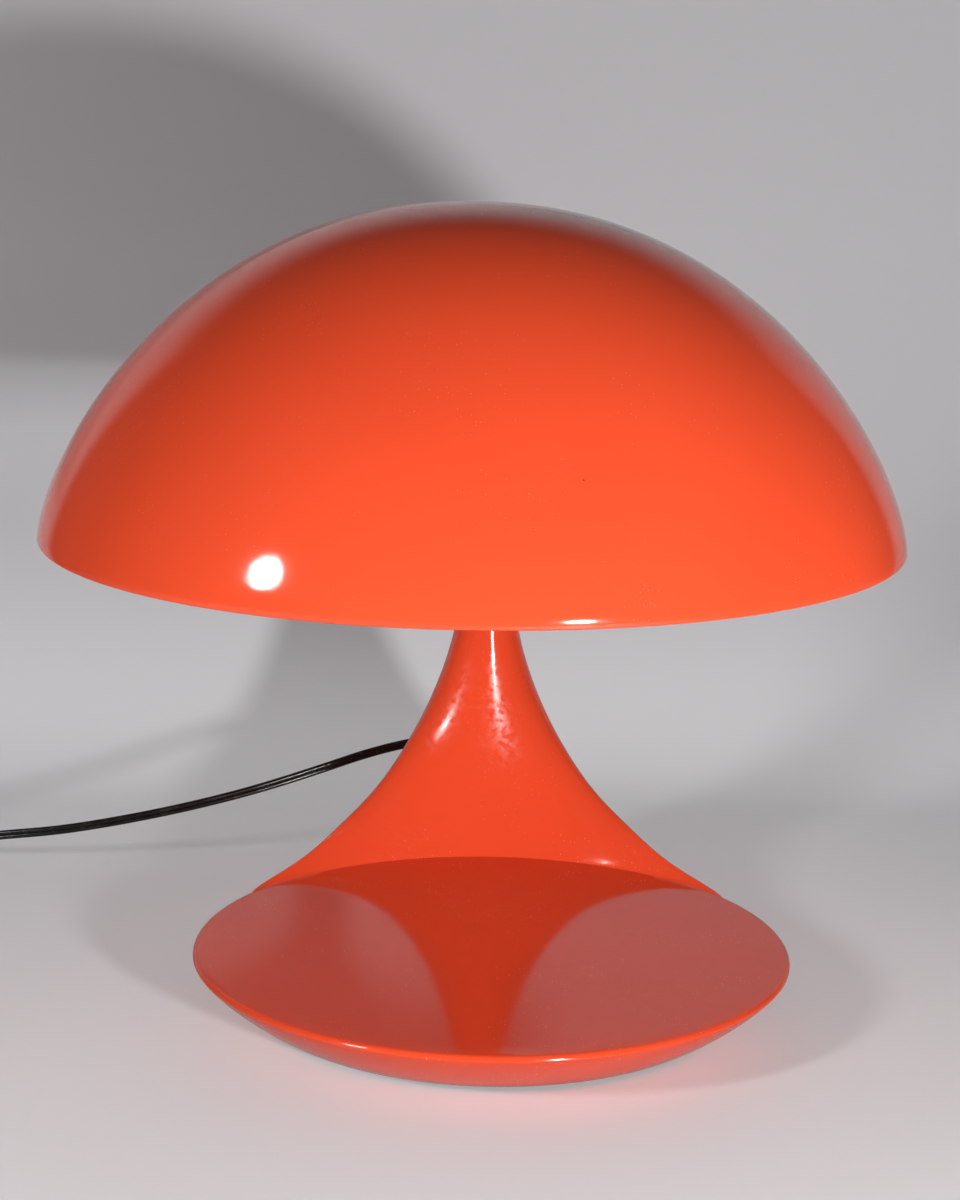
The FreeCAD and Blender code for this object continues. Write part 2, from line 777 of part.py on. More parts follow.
keep(stud)

# The swivel, about the neck's axis.

floor_low = "waist_height - neck_floor"
keep(place(turned("neck_bush", [
    ("tube_radius + running_fit", "waist_height"),
    ("bush_radius", "waist_height"),
    ("bush_radius", floor_low),
    ("bush_flange_radius", floor_low),
    ("bush_flange_radius", floor_low + " - bush_flange"),
    ("tube_radius + running_fit", floor_low + " - bush_flange"),
]), AT_NECK))
pin = rod("stop_pin", "stop_pin_radius", floor_low + " - stop_pin_drop", "stop_pin_drop + 4")
keep(place(pin, frame_text(y="neck_offset - stop_pin_circle", z=floor_low + " - stop_pin_drop")))
keep(place(ring("friction_washer", "tube_radius + 0.3", "neck_radius - 0.5", "waist_height",
                "waist_height + washer_thickness"), AT_NECK))

spring_top = floor_low + " - bush_flange"
keep(place(turned("disc_spring", [
    ("tube_radius + 0.2", spring_top + " - wave_height"),
    ("tube_radius + 0.7", spring_top + " - wave_height"),
    ("bush_flange_radius - 0.2", spring_top + " - 0.4"),
    ("bush_flange_radius - 0.2", spring_top),
    ("bush_flange_radius - 0.7", spring_top),
    ("tube_radius + 0.2", spring_top + " - wave_height + 0.4"),
]), IN_HEAD))

stop_top = spring_top + " - wave_height"
stop_low = stop_top + " - stop_washer_thickness"
nuts_low = stop_low + " - 2 * nut_height"
tube_low = nuts_low + " - tube_tail"
tube_stock = ring("tube_stock", "tube_bore", "tube_radius", tube_low, "tube_top_height")
tube_flat = block("tube_flat", ("0 - tube_radius", "tube_flat", tube_low + " - 1"),
                  ("2 * tube_radius", "tube_radius", f"{stop_top} - ({tube_low}) + 1"))
keep(place(cut("neck_tube", tube_stock, tube_flat), IN_HEAD))

stop_disc = size("bush_flange_radius - 0.2")
low, thick = size(stop_low), size("stop_washer_thickness")
disc = cylinder(stop_disc, low, low + thick)
tab = size("stop_tab_width / 2")
disc = disc.fuse(box((-tab, 0, low), (tab, size("stop_tab_radius"), low + thick)))
keyed = cylinder(size("tube_radius"), low - 1, low + thick + 1).cut(
    box((-20, size("tube_flat"), low - 2), (20, 20, low + thick + 2))
)
keep(place(shaped("stop_washer", disc.cut(keyed)), IN_HEAD))


def hexagon_solid(flats, bore, bottom, height):
    """Return a nut as a shape."""
    corner = flats / math.sqrt(3)
    points = [
        Vector(corner * math.cos(math.radians(60 * k)), corner * math.sin(math.radians(60 * k)), bottom)
        for k in range(7)
    ]
    return Part.Face(Part.makePolygon(points)).extrude(Vector(0, 0, height)).cut(
        cylinder(bore, bottom - 1, bottom + height + 1)
    )


group("friction_nuts", [
    hexagon_solid(size("nut_flats"), size("tube_radius"), size(stop_low) - size("nut_height") * (k + 1),
                  size("nut_height"))
    for k in range(2)
], IN_HEAD)

# What the tube carries in the head.

head_floor = "waist_height + washer_thickness + head_floor"
bracket_low = "bracket_height"
keep(place(ring("head_washer", "tube_radius + 0.1", "neck_radius - shade_wall - 0.8", head_floor,
                head_floor + " + washer_thickness"), IN_HEAD))
group("head_nuts", [
    hexagon_solid(size("nut_flats"), size("tube_radius"), size(level), size("nut_height"))
    for level in (head_floor + " + washer_thickness", bracket_low + " + strip_thickness")
], IN_HEAD)

t = "strip_thickness"
arm = padded("bracket_strip", [
    ("foot_strip_back", bracket_low),
    ("0 - foot_strip_front", bracket_low),
    ("0 - foot_strip_front", "strip_bend_height"),
    ("0 - strip_knee_reach", "strip_knee_height"),
    ("0 - holder_reach", "arm_height"),
    ("0 - holder_reach", "holder_height + strip_end"),
    (f"{t} - holder_reach", "holder_height + strip_end"),
    (f"{t} - holder_reach", f"arm_height + {t}"),
    (f"{t} - strip_knee_reach", f"strip_knee_height + {t}"),
    (f"{t} - foot_strip_front", f"strip_bend_height + {t}"),
    (f"{t} - foot_strip_front", f"{bracket_low} + {t}"),
    ("foot_strip_back", f"{bracket_low} + {t}"),
], None, "strip_width", "YZ_Plane", True)
foot_hole = rod("bracket_foot_hole", "tube_radius + 0.1", bracket_low + " - 1", "strip_thickness + 2")
nipple_hole = primitive("Cylinder", "bracket_nipple_hole",
                        frame_text(y="5 - holder_reach", z="holder_height", axis="1; 0; 0", angle="90"),
                        Radius="tube_radius", Height="strip_thickness + 8")
keep(place(cut("holder_bracket", arm, foot_hole, nipple_hole), IN_HEAD))

keep(place(ring("holder_nipple", "tube_bore", "tube_radius", "0 - strip_thickness - nut_height - 2",
                "nipple_reach"), IN_HOLDER))
keep(place(hexagon_nut("holder_nut", "nut_flats", "tube_radius", "0 - strip_thickness - nut_height",
                       "nut_height"), IN_HOLDER))
keep(place(turned("holder_cap", [
    ("tube_radius", "0"),
    ("holder_radius - 6", "0"),
    ("holder_radius", "6"),
    ("holder_radius", "cap_length"),
    ("holder_radius - 2", "cap_length"),
    ("holder_radius - 2", "cap_length - insert_thickness"),
    ("holder_radius - 4", "cap_length - insert_thickness"),
    ("holder_radius - 4", "nipple_reach"),
    ("tube_radius", "nipple_reach"),
]), IN_HOLDER))
keep(place(primitive("Cylinder", "holder_insert", Radius="holder_radius - 2.1", Height="insert_thickness"),
           IN_HOLDER, frame_text(z="cap_length - insert_thickness")))
keep(place(turned("holder_sleeve", [
    ("holder_radius - 3.5", "cap_length"),
    ("holder_radius", "cap_length"),
    ("holder_radius", "holder_length"),
    ("bulb_cap_radius + 1.6", "holder_length"),
    ("bulb_cap_radius + 1.6", "holder_length - 2"),
    ("holder_radius - 2.2", "holder_length - 2"),
    ("holder_radius - 2.2", "cap_length + 2"),
    ("holder_radius - 3.5", "cap_length + 2"),
]), IN_HOLDER))
keep(place(turned("holder_thread", [
    ("bulb_cap_radius + 0.1", "cap_length"),
    ("bulb_cap_radius + 2.8", "cap_length"),
    ("bulb_cap_radius + 2.8", "cap_length + 0.6"),
    ("bulb_cap_radius + 0.7", "cap_length + 0.6"),
    ("bulb_cap_radius + 0.7", "holder_length - 10"),
    ("bulb_cap_radius + 0.1", "holder_length - 10"),
]), IN_HOLDER))
insert_top, contact = size("cap_length"), size("contact_height")
group("holder_contacts", [
    cylinder(3.2, insert_top, insert_top + contact),
    cylinder(2.4, insert_top - size("insert_thickness") - 3, insert_top - size("insert_thickness"), 9, 0),
    cylinder(2.4, insert_top - size("insert_thickness") - 3, insert_top - size("insert_thickness"), -9, 0),
], IN_HOLDER)

bulb_low = "cap_length + contact_height"
keep(place(primitive("Cylinder", "bulb_contact", Radius="3", Height="2.4"), IN_HOLDER, frame_text(z=bulb_low)))
keep(place(turned("bulb_insulator", [
    ("3", bulb_low + " + 0.8"),
    ("6.5", bulb_low + " + 1.6"),
    ("6.5", bulb_low + " + 2.8"),
    ("3", bulb_low + " + 2.4"),
]), IN_HOLDER))
keep(place(turned("bulb_cap", [
    ("6.5", bulb_low + " + 1.6"),
    ("bulb_cap_radius", bulb_low + " + 5"),
    ("bulb_cap_radius", bulb_low + " + bulb_cap_length"),
    ("bulb_cap_radius - 0.8", bulb_low + " + bulb_cap_length"),
    ("bulb_cap_radius - 0.8", bulb_low + " + 5.6"),
    ("6.5", bulb_low + " + 2.8"),
]), IN_HOLDER))


def bulb_outline(shrink, start):
    """Return the curve of the bulb from its neck to its crown."""
    neck, globe = size("bulb_cap_radius - 0.8"), size("bulb_radius")
    base = size(bulb_low) + size("bulb_cap_length")
    profile = [
        (neck, start), (neck, base), (neck * 1.1, base + globe * 0.3), (globe * 0.66, base + globe * 0.733),
        (globe * 0.915, base + globe * 1.133), (globe, base + globe * 1.567), (globe * 0.905, base + globe * 2),
        (globe * 0.62, base + globe * 2.367), (globe * 0.28, base + globe * 2.54),
    ]
    points = [Vector(r - shrink, 0, s) for r, s in profile] + [Vector(0, 0, base + globe * 2.567 - shrink)]
    curve = Part.BSplineCurve()
    curve.interpolate(Points=points[1:], InitialTangent=Vector(0, 0, 1), FinalTangent=Vector(-1, 0, 0))
    return points, curve


glass_start = size(bulb_low) + size("bulb_cap_length") - 5
outer_points, outer_curve = bulb_outline(0.0, glass_start)
inner_points, inner_curve = bulb_outline(1.0, glass_start)
glass = turned_solid(Part.Wire(Part.__sortEdges__([
    Part.makeLine(inner_points[0], outer_points[0]),
    Part.makeLine(outer_points[0], outer_points[1]),
    outer_curve.toShape(),
    Part.makeLine(outer_points[-1], inner_points[-1]),
    inner_curve.toShape(),
    Part.makeLine(inner_points[1], inner_points[0]),
])))
keep(place(shaped("bulb_glass", glass), IN_HOLDER))

# Wiring in the foot.

cord_z = "cord_inner_height"
strap_top = cord_z + " - flex_diameter / 2"
keep(cut("cord_clamp",
         block("clamp_strap", ("0 - clamp_width / 2", "clamp_reach", strap_top + " - clamp_thickness"),
               ("clamp_width", "clamp_depth", "clamp_thickness")),
         *[rod(f"clamp_hole_{k}", "small_screw_radius + 0.2", strap_top + " - clamp_thickness - 1",
               "clamp_thickness + 2", f"{sign} * clamp_screw_offset", "clamp_reach + clamp_depth / 2")
           for k, sign in enumerate((-1, 1))]))
strap_low = size(strap_top + " - clamp_thickness")
group("clamp_screws", [
    screw(3.0, size("small_screw_radius"), strap_low - 1.8, strap_low,
          size("cord_inner_height + flex_diameter / 2") + 4.5, x, size("clamp_reach + clamp_depth / 2"))
    for x in (-size("clamp_screw_offset"), size("clamp_screw_offset"))
])
block_top = "plate_height - shell_wall"
block_low = block_top + " - block_height"
keep(cut("terminal_block",
         block("block_stock", ("0 - block_width / 2", "block_reach", block_low),
               ("block_width", "block_depth", "block_height")),
         rod("block_hole", "small_screw_radius + 0.2", block_low + " - 1", "block_height + 2", "0",
             "block_reach + block_depth / 2")))
block_bottom, block_middle = size(block_low), size("block_reach + block_depth / 2")
group("block_screw", [
    screw(3.0, size("small_screw_radius"), block_bottom - 1.8, block_bottom, size(block_top) + 1.6, 0, block_middle)
])
group("terminal_screws", [
    cylinder(2.0, block_bottom - 1.2, block_bottom, x, block_middle + y)
    for x in (-11, 11) for y in (-3, 3)
])

grommet_y = size("grommet_reach")
grommet = Part.makeCylinder(size("grommet_radius"), 14, Vector(0, grommet_y - 10, size("cord_height")),
                            Vector(0, 1, 0))
grommet = grommet.fuse(Part.makeCone(size("grommet_radius"), size("flex_diameter") / 2 + 1.6, 5,
                                     Vector(0, grommet_y + 4, size("cord_height")), Vector(0, 1, 0)))
grommet = grommet.cut(Part.makeCylinder(size("flex_diameter") / 2, 60,
                                        Vector(0, grommet_y - 30, size("cord_height")), Vector(0, 1, 0)))
keep(shaped("cord_grommet", grommet.removeSplitter()))

block_back = size("block_reach + block_depth")
lead_x = size("block_width / 2") - size("lead_diameter") / 2 - 0.5
inner_z = size("cord_inner_height")
cord_tube("riser_lead", [
    (lead_x, block_back, inner_z),
    (lead_x, block_back + 28, inner_z),
    (lead_x + 1, block_back + 43, inner_z + 10),
    (lead_x, block_back + 58, inner_z + 32),
    (12, size("neck_offset") - 11, size("waist_height") - 117),
    (6, size("neck_offset") - 5, size("waist_height") - 85),
    (0, size("neck_offset"), size("waist_height") - 54),
    (0, size("neck_offset"), size(tube_low)),
], size("lead_diameter"))

insert_back = -size("holder_reach + cap_length - insert_thickness")
holder_z = size("holder_height")
cord_tube("holder_lead", [
    (0, 0, size(tube_low)),
    (0, 0, size("tube_top_height") + 5),
    (0, 12 - size("strip_knee_reach"), size("strip_knee_height") + 4),
    (0, -16 - size("strip_knee_reach"), holder_z - 20),
    (0, 24 - size("holder_reach"), holder_z),
    (0, insert_back, holder_z),
], size("lead_diameter"))
place(PARTS["holder_lead"], IN_HEAD)

# The cord outside: to the in-line switch, into the put-away coil and on to the plug.

flex = size("flex_diameter")
entry_z = size("switch_height / 2")
switch_x, switch_y = -360.0, 231.0
switch_far = switch_x - size("switch_length")
coil_x, coil_low = switch_far - 62.0, flex / 2 + 0.05
coil_inner, coil_pitch, coil_turns = 19.6, 7.2, 3
coil_reach = coil_inner + coil_turns * coil_pitch
coil_y = switch_y - coil_reach
layer_gap = 6.1

cord_tube("cord_lead", [
    (0, block_back, inner_z),
    (0, 146, inner_z),
    (0, 166, 40),
    (0, 170, 58),
    (0, 182, size("cord_height")),
    (0, grommet_y + 18, size("cord_height")),
    (-9, 240, 69.8),
    (-32, 247.5, 66.6),
    (-64, 240, 59.5),
    (-97, 229, 50.5),
    (-133, 220, 41),
    (-170, 214, 33.5),
    (-208, 211, 26),
    (-246, 211, 19.5),
    (-282, 215, 13.5),
    (-312, 220.5, 9.8),
    (-337, 226.5, 8.3),
    (switch_x, switch_y, entry_z),
], flex)

cord_tube("switch_lead", [
    (switch_far, switch_y, entry_z),
    (switch_far - 18, switch_y + 0.6, 6.8),
    (switch_far - 37, switch_y + 0.8, 3.6),
    (coil_x + flex, switch_y, coil_low),
], flex)

coil = coil_wire((coil_x, coil_y), coil_inner, coil_pitch, coil_turns, coil_low, layer_gap, flex)
coil_solid = tube_along(coil, flex)
print("cord_coil length", round(coil.Length, 1), "volume", round(coil_solid.Volume), "of",
      round(math.pi * flex**2 / 4 * coil.Length), "least gap to itself", round(least_gap(coil, flex), 2))
keep(shaped("cord_coil", coil_solid))

plug_z = size("plug_thickness / 2")
coil_end = coil.Edges[-1].valueAt(coil.Edges[-1].LastParameter)
plug_x = coil_end.x + 95.0
plug_y = coil_end.y + 13.6
cord_tube("plug_lead", [
    (coil_end.x, coil_end.y, coil_end.z),
    (coil_end.x + 18, coil_end.y + 0.6, coil_end.z - 0.5),
    (coil_end.x + 37, coil_end.y + 4.8, plug_z + 0.6),
    (coil_end.x + 57, coil_end.y + 10.8, plug_z),
    (coil_end.x + 76, plug_y, plug_z),
    (plug_x, plug_y, plug_z),
], flex)

plug = padded("plug_body", [
    ("0", "0 - plug_neck / 2"),
    ("plug_length * 0.25", "0 - plug_width * 0.42"),
    ("plug_length * 0.55", "0 - plug_width / 2"),
    ("plug_length", "0 - plug_width / 2"),
    ("plug_length", "plug_width / 2"),
    ("plug_length * 0.55", "plug_width / 2"),
    ("plug_length * 0.25", "plug_width * 0.42"),
    ("0", "plug_neck / 2"),
], "0", "plug_thickness")
keep(place(plug, frame_text(str(plug_x), str(plug_y), "0")))
pin_start = plug_x + size("plug_length")
group("plug_pins", [
    Part.makeCylinder(size("plug_pin_radius"), size("plug_pin_length"),
                      Vector(pin_start, plug_y + side * size("plug_pin_spacing / 2"), plug_z), Vector(1, 0, 0))
    for side in (-1, 1)
])

# The in-line switch, in its own frame: X along the cord, Y across, its middle under the rocker.

AT_SWITCH = frame_text(str(switch_x) + " - switch_length / 2", str(switch_y), "0")
half_case = [
    ("0 - switch_length / 2", "0 - switch_nose / 2"),
    ("0 - switch_length / 2 + switch_taper", "0 - switch_width / 2"),
    ("switch_length / 2 - switch_taper", "0 - switch_width / 2"),
    ("switch_length / 2", "0 - switch_nose / 2"),
    ("switch_length / 2", "switch_nose / 2"),
    ("switch_length / 2 - switch_taper", "switch_width / 2"),
    ("0 - switch_length / 2 + switch_taper", "switch_width / 2"),
    ("0 - switch_length / 2", "switch_nose / 2"),
]
inside = "switch_width - 2 * switch_wall"
chamber = "switch_length - 2 * switch_end"
screw_x = "(switch_length / 2 - switch_end / 2 - 1)"
lower = padded("switch_lower", half_case, "0", "switch_height / 2")
keep(place(cut(
    "switch_base", lower,
    block("base_chamber", (f"0 - ({chamber}) / 2", f"0 - ({inside}) / 2", "switch_wall"),
          (chamber, inside, "switch_height")),
    *[rod(f"base_screw_{k}", "small_screw_radius + 0.1", "0 - 1", "switch_height", f"{sign} * {screw_x}")
      for k, sign in enumerate((-1, 1))],
    *[rod(f"base_recess_{k}", "switch_recess", "0 - 1", "2.6", f"{sign} * {screw_x}")
      for k, sign in enumerate((-1, 1))],
), AT_SWITCH))
upper = padded("switch_upper", half_case, "switch_height / 2", "switch_height / 2")
keep(place(cut(
    "switch_cover", upper,
    block("cover_chamber", (f"0 - ({chamber}) / 2", f"0 - ({inside}) / 2", "0"),
          (chamber, inside, "switch_height - switch_wall")),
    block("cover_window", ("0 - window_length / 2", "0 - window_width / 2", "switch_height / 2"),
          ("window_length", "window_width", "switch_height")),
    *[rod(f"cover_screw_{k}", "small_screw_radius", "0", "switch_height / 2 + 4.5", f"{sign} * {screw_x}")
      for k, sign in enumerate((-1, 1))],
), AT_SWITCH))
group("switch_screws", [
    screw(size("switch_recess") - 0.1, size("small_screw_radius"), 0.4, 1.6, size("switch_height / 2") + 4.2,
          sign * size(screw_x), 0.0)
    for sign in (-1, 1)
], AT_SWITCH)
rocker = padded("rocker_stock", [
    ("0 - rocker_length / 2", "0 - rocker_below"),
    ("rocker_length / 2", "0 - rocker_below"),
    ("rocker_length / 2", "rocker_above"),
    ("0", "rocker_above - 1.3"),
    ("0 - rocker_length / 2", "rocker_above"),
], None, "window_width - 2 * rocker_play", "XZ_Plane", True)
rocker_bore = primitive("Cylinder", "rocker_bore", frame_text(y="20", axis="1; 0; 0", angle="90"),
                        Radius="axle_radius + running_fit", Height="40")
keep(place(cut("switch_rocker", rocker, rocker_bore), AT_SWITCH,
           frame_text(z="pivot_height", axis="0; 1; 0", angle="0 - rocker_tilt")))
keep(place(primitive("Cylinder", "switch_axle", Radius="axle_radius", Height=inside), AT_SWITCH,
           frame_text(y=f"({inside}) / 2", z="pivot_height", axis="1; 0; 0", angle="90")))
wall, split = size("switch_wall"), size("switch_height / 2")
group("switch_contacts", [
    box((sign * 8 - 2, -4, wall), (sign * 8 + 2, 4, split - 1.5)) for sign in (-1, 1)
], AT_SWITCH)

doc.recompute()

faults = [item.Label for item in doc.Objects if "Invalid" in item.State or "Error" in item.State]
for label, item in PARTS.items():
    if item.Shape.isNull() or not item.Shape.isValid() or not item.Shape.Solids:
        faults.append(label)
if faults:
    raise RuntimeError("These objects did not build: " + ", ".join(sorted(set(faults))))

os.makedirs("parts", exist_ok=True)
for label, item in PARTS.items():
    item.Shape.exportStep(f"parts/{label}.step")
print(len(PARTS), "sub-parts:", ", ".join(f"{k} {len(v.Shape.Solids)}" for k, v in PARTS.items()))
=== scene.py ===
"""The mushroom table lamp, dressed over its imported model: foot, head, flex, switch, plug and studio."""

import json
import logging
import math
from dataclasses import dataclass, field
from enum import Enum
from typing import Callable, Optional, Sequence, Union

import bmesh
import bpy
from mathutils import Matrix, Vector


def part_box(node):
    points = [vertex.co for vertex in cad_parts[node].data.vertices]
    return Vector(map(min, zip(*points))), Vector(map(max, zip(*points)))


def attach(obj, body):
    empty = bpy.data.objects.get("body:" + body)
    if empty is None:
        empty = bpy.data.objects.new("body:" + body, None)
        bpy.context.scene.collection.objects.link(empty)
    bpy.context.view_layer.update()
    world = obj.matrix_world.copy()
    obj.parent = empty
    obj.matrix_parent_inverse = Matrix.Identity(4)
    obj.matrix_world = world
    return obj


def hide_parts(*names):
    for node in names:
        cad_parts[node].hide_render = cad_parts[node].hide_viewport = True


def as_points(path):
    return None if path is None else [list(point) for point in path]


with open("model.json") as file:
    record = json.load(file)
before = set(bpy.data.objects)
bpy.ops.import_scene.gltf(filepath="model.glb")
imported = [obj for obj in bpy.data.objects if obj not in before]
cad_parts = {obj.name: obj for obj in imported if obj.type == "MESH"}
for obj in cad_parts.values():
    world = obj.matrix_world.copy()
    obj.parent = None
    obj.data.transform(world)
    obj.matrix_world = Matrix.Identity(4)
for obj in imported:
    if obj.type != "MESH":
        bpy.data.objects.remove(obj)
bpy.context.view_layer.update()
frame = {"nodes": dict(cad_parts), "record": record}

MM = 0.001
CRISP = 0.7
QUARTER_HANDLE = 0.5523
LOG = logging.getLogger("lamp")
Point = Sequence[float]
Halves = tuple[list[Point], list[Point]]


# Shader tools


class Signal:
    """An output of a shader node, with its maths written as operators."""

    def __init__(self, shader: "Shader", socket: bpy.types.NodeSocket) -> None:
        """Wrap one output socket of a shader's node tree."""
        self.shader = shader
        self.socket = socket

    def _math(self, operation: str, first: "Value", second: "Value") -> "Signal":
        """Add a Math node on two values."""
        return self.shader.node("ShaderNodeMath", {"operation": operation}, {0: first, 1: second})

    def __add__(self, other: "Value") -> "Signal":
        """Return the sum."""
        return self._math("ADD", self, other)

    __radd__ = __add__

    def __mul__(self, other: "Value") -> "Signal":
        """Return the product."""
        return self._math("MULTIPLY", self, other)

    __rmul__ = __mul__

    def __sub__(self, other: "Value") -> "Signal":
        """Return the difference."""
        return self._math("SUBTRACT", self, other)

    def __rsub__(self, other: "Value") -> "Signal":
        """Return the difference the other way round."""
        return self._math("SUBTRACT", other, self)

    def __gt__(self, other: "Value") -> "Signal":
        """Return 1 where this is greater, else 0."""
        return self._math("GREATER_THAN", self, other)

    def spread(self, low: float, high: float, to_low: float = 0.0, to_high: float = 1.0) -> "Signal":
        """Return the value mapped from one range to another and clamped.

        Args:
            low: value that becomes to_low.
            high: value that becomes to_high.
            to_low: lowest result.
            to_high: highest result.

        Returns:
            The mapped signal.
        """
        return self.shader.node("ShaderNodeMapRange", {"interpolation_type": "SMOOTHSTEP"},
                                {0: self, 1: low, 2: high, 3: to_low, 4: to_high})


Value = Union[Signal, float]
Colour = tuple[float, float, float]


class Shader:
    """The node tree of a material, round one Principled shader, or of a world."""

    def __init__(self, name: str, kind: str = "materials") -> None:
        """Start a material, or other data that has nodes.

        Args:
            name: its name.
            kind: the file's list of such data.
        """
        self.owner = getattr(bpy.data, kind).new(name)
        self.owner.use_nodes = True
        self.tree = self.owner.node_tree
        self.body = self.tree.nodes.get("Principled BSDF")
        self.surface = next(node for node in self.tree.nodes if "Output" in node.bl_idname).inputs["Surface"]

    def node(self, kind: str, settings: Optional[dict] = None, inputs: Optional[dict] = None,
             output: Union[int, str] = 0) -> Signal:
        """Add a node.

        Args:
            kind: the node's type.
            settings: its settings, set before its sockets.
            inputs: values or signals by socket name or number.
            output: the output socket that is wanted.

        Returns:
            The signal of that output.
        """
        made = self.tree.nodes.new(kind)
        for key, value in (settings or {}).items():
            setattr(made, key, value)
        for key, value in (inputs or {}).items():
            self.join(made.inputs[key], value)
        return Signal(self, made.outputs[output])

    def join(self, socket: bpy.types.NodeSocket, value: object) -> None:
        """Link a signal to a socket, or set its plain value.

        Args:
            socket: the socket.
            value: a signal, a number, a vector or a colour.
        """
        if isinstance(value, Signal):
            self.tree.links.new(value.socket, socket)
        else:
            socket.default_value = (*value, 1.0) if socket.type == "RGBA" else value

    def feed(self, **inputs: object) -> None:
        """Set the Principled shader's sockets, spelled with underscores for spaces."""
        for key, value in inputs.items():
            self.join(self.body.inputs[key.replace("_", " ")], value)

    def place(self, scale: Point = (1.0, 1.0, 1.0)) -> Signal:
        """Return the piece's own coordinates in metres, scaled."""
        spot = self.node("ShaderNodeTexCoord", output="Object")
        return self.node("ShaderNodeMapping", {}, {"Vector": spot, "Scale": tuple(scale)})

    def axis(self, index: int) -> Signal:
        """Return one of the piece's own coordinates in metres: 0 for X, 1 for Y, 2 for Z."""
        return self.node("ShaderNodeSeparateXYZ", {}, {0: self.place()}, output=index)

    def noise(self, scale: float, detail: float = 2.0, rough: float = 0.5,
              at: Optional[Signal] = None) -> Signal:
        """Return a noise of so many bumps a metre."""
        return self.node("ShaderNodeTexNoise", {}, {
            "Vector": at or self.place(), "Scale": scale, "Detail": detail, "Roughness": rough})

    def specks(self, scale: float, size: float, at: Optional[Signal] = None) -> Signal:
        """Return 1 on small round specks scattered through a metre, and 0 between them.

        Args:
            scale: cells a metre.
            size: radius of a speck as a share of its cell.
            at: coordinates, or the piece's own.

        Returns:
            The mask of the specks, fewer than one a cell.
        """
        cell = {"Vector": at or self.place(), "Scale": scale}
        near = self.node("ShaderNodeTexVoronoi", {}, dict(cell))
        pick = self.node("ShaderNodeTexVoronoi", {}, dict(cell), output="Color")
        chosen = self.node("ShaderNodeSeparateColor", {}, {"Color": pick}) > 0.62
        return near.spread(size, size * 0.55) * chosen

    def blend(self, amount: Value, first: object, second: object) -> Signal:
        """Return a mix of two colours."""
        return self.node("ShaderNodeMix", {"data_type": "RGBA"}, {0: amount, 6: first, 7: second}, output=2)

    def open_back(self) -> None:
        """Make the surface see-through from its back, so that a backdrop hides nothing from behind."""
        back = self.node("ShaderNodeNewGeometry", output="Backfacing")
        clear = self.node("ShaderNodeBsdfTransparent")
        face = Signal(self, self.body.outputs[0])
        self.join(self.surface, self.node("ShaderNodeMixShader", {}, {0: back, 1: face, 2: clear}))

    def bump(self, height: Signal, distance: float, strength: float = 1.0) -> Signal:
        """Return the normal of a bump of that height in metres."""
        return self.node("ShaderNodeBump", {}, {"Height": height, "Distance": distance, "Strength": strength})


# Finishes


class Finish:
    """A finish that builds its material once."""

    _made: dict[str, bpy.types.Material] = {}
    name: str

    def material(self) -> bpy.types.Material:
        """Return the finish's material, built on first use.

        Returns:
            The material, the same one each time.
        """
        if self.name not in Finish._made:
            shader = Shader(self.name)
            self.paint(shader)
            Finish._made[self.name] = shader.owner
        return Finish._made[self.name]

    def paint(self, shader: Shader) -> None:
        """Fill the shader's nodes."""
        raise NotImplementedError


@dataclass(frozen=True)
class Lacquer(Finish):
    """High-gloss lacquer over a moulded shell, with dust, hairlines, chips and a worn band on the neck."""

    name: str = "lacquer"
    colour: Colour = (0.83, 0.078, 0.026)
    deep: Colour = (0.79, 0.071, 0.023)
    dust: Colour = (0.86, 0.40, 0.30)
    chip: Colour = (0.03, 0.012, 0.01)
    roughness: float = 0.085
    index: float = 1.42
    hair_stretch: Point = (1.0, 9.0, 3.0)
    plate_fade: tuple[float, float] = (0.03, 0.06)
    band_foot: tuple[float, float] = (0.05, 0.11)
    band_top: tuple[float, float] = (0.125, 0.150)

    def paint(self, shader: Shader) -> None:
        """Mix pigment, dust, hairlines and chips, wear the neck, and give a faint flow to the surface."""
        high, strands = shader.axis(2), shader.noise(60.0, 1.0, at=shader.place(self.hair_stretch))
        colour = shader.blend(shader.noise(5.0).spread(0.35, 0.7), self.colour, self.deep)
        dust = shader.specks(520.0, 0.16) * shader.noise(28.0).spread(0.46, 0.62)
        hair = strands.spread(0.497, 0.500) * strands.spread(0.503, 0.500) \
            * shader.noise(17.0, 1.0).spread(0.56, 0.66)
        chips = shader.specks(34.0, 0.02) * 0.8
        settled = dust * high.spread(*self.plate_fade, 0.75, 0.3) \
            + hair * high.spread(*self.plate_fade, 0.5, 0.15)
        colour = shader.blend(chips, shader.blend(settled, colour, self.dust), self.chip)
        film = shader.noise(5.0, 3.0).spread(0.35, 0.8)
        band = high.spread(*self.band_foot) * high.spread(*self.band_top, 1.0, 0.0)
        worn = band * shader.noise(260.0, 3.0).spread(0.35, 0.6)
        rough = self.roughness + film * 0.02 + dust * 0.35 + hair * 0.2 + worn * 0.16
        shader.feed(Base_Color=colour, Roughness=rough, IOR=self.index,
                    Normal=shader.bump(shader.noise(210.0, 1.0), 0.00006, 0.35))


@dataclass(frozen=True)
class Plain(Finish):
    """A moulded, painted or cast finish: a colour that wanders, with a grain of so many bumps a metre."""

    name: str
    colour: Colour
    other: Colour
    roughness: float
    grain: float
    depth: float
    metallic: float = 0.0
    wander: float = 40.0

    def paint(self, shader: Shader) -> None:
        """Let the colour and gloss wander, and stipple the surface."""
        wander = shader.noise(self.wander, 3.0)
        shader.feed(Base_Color=shader.blend(wander.spread(0.3, 0.7), self.colour, self.other),
                    Roughness=self.roughness + (wander - 0.5) * 0.25, Metallic=self.metallic,
                    Normal=shader.bump(shader.noise(self.grain), self.depth, 0.6))


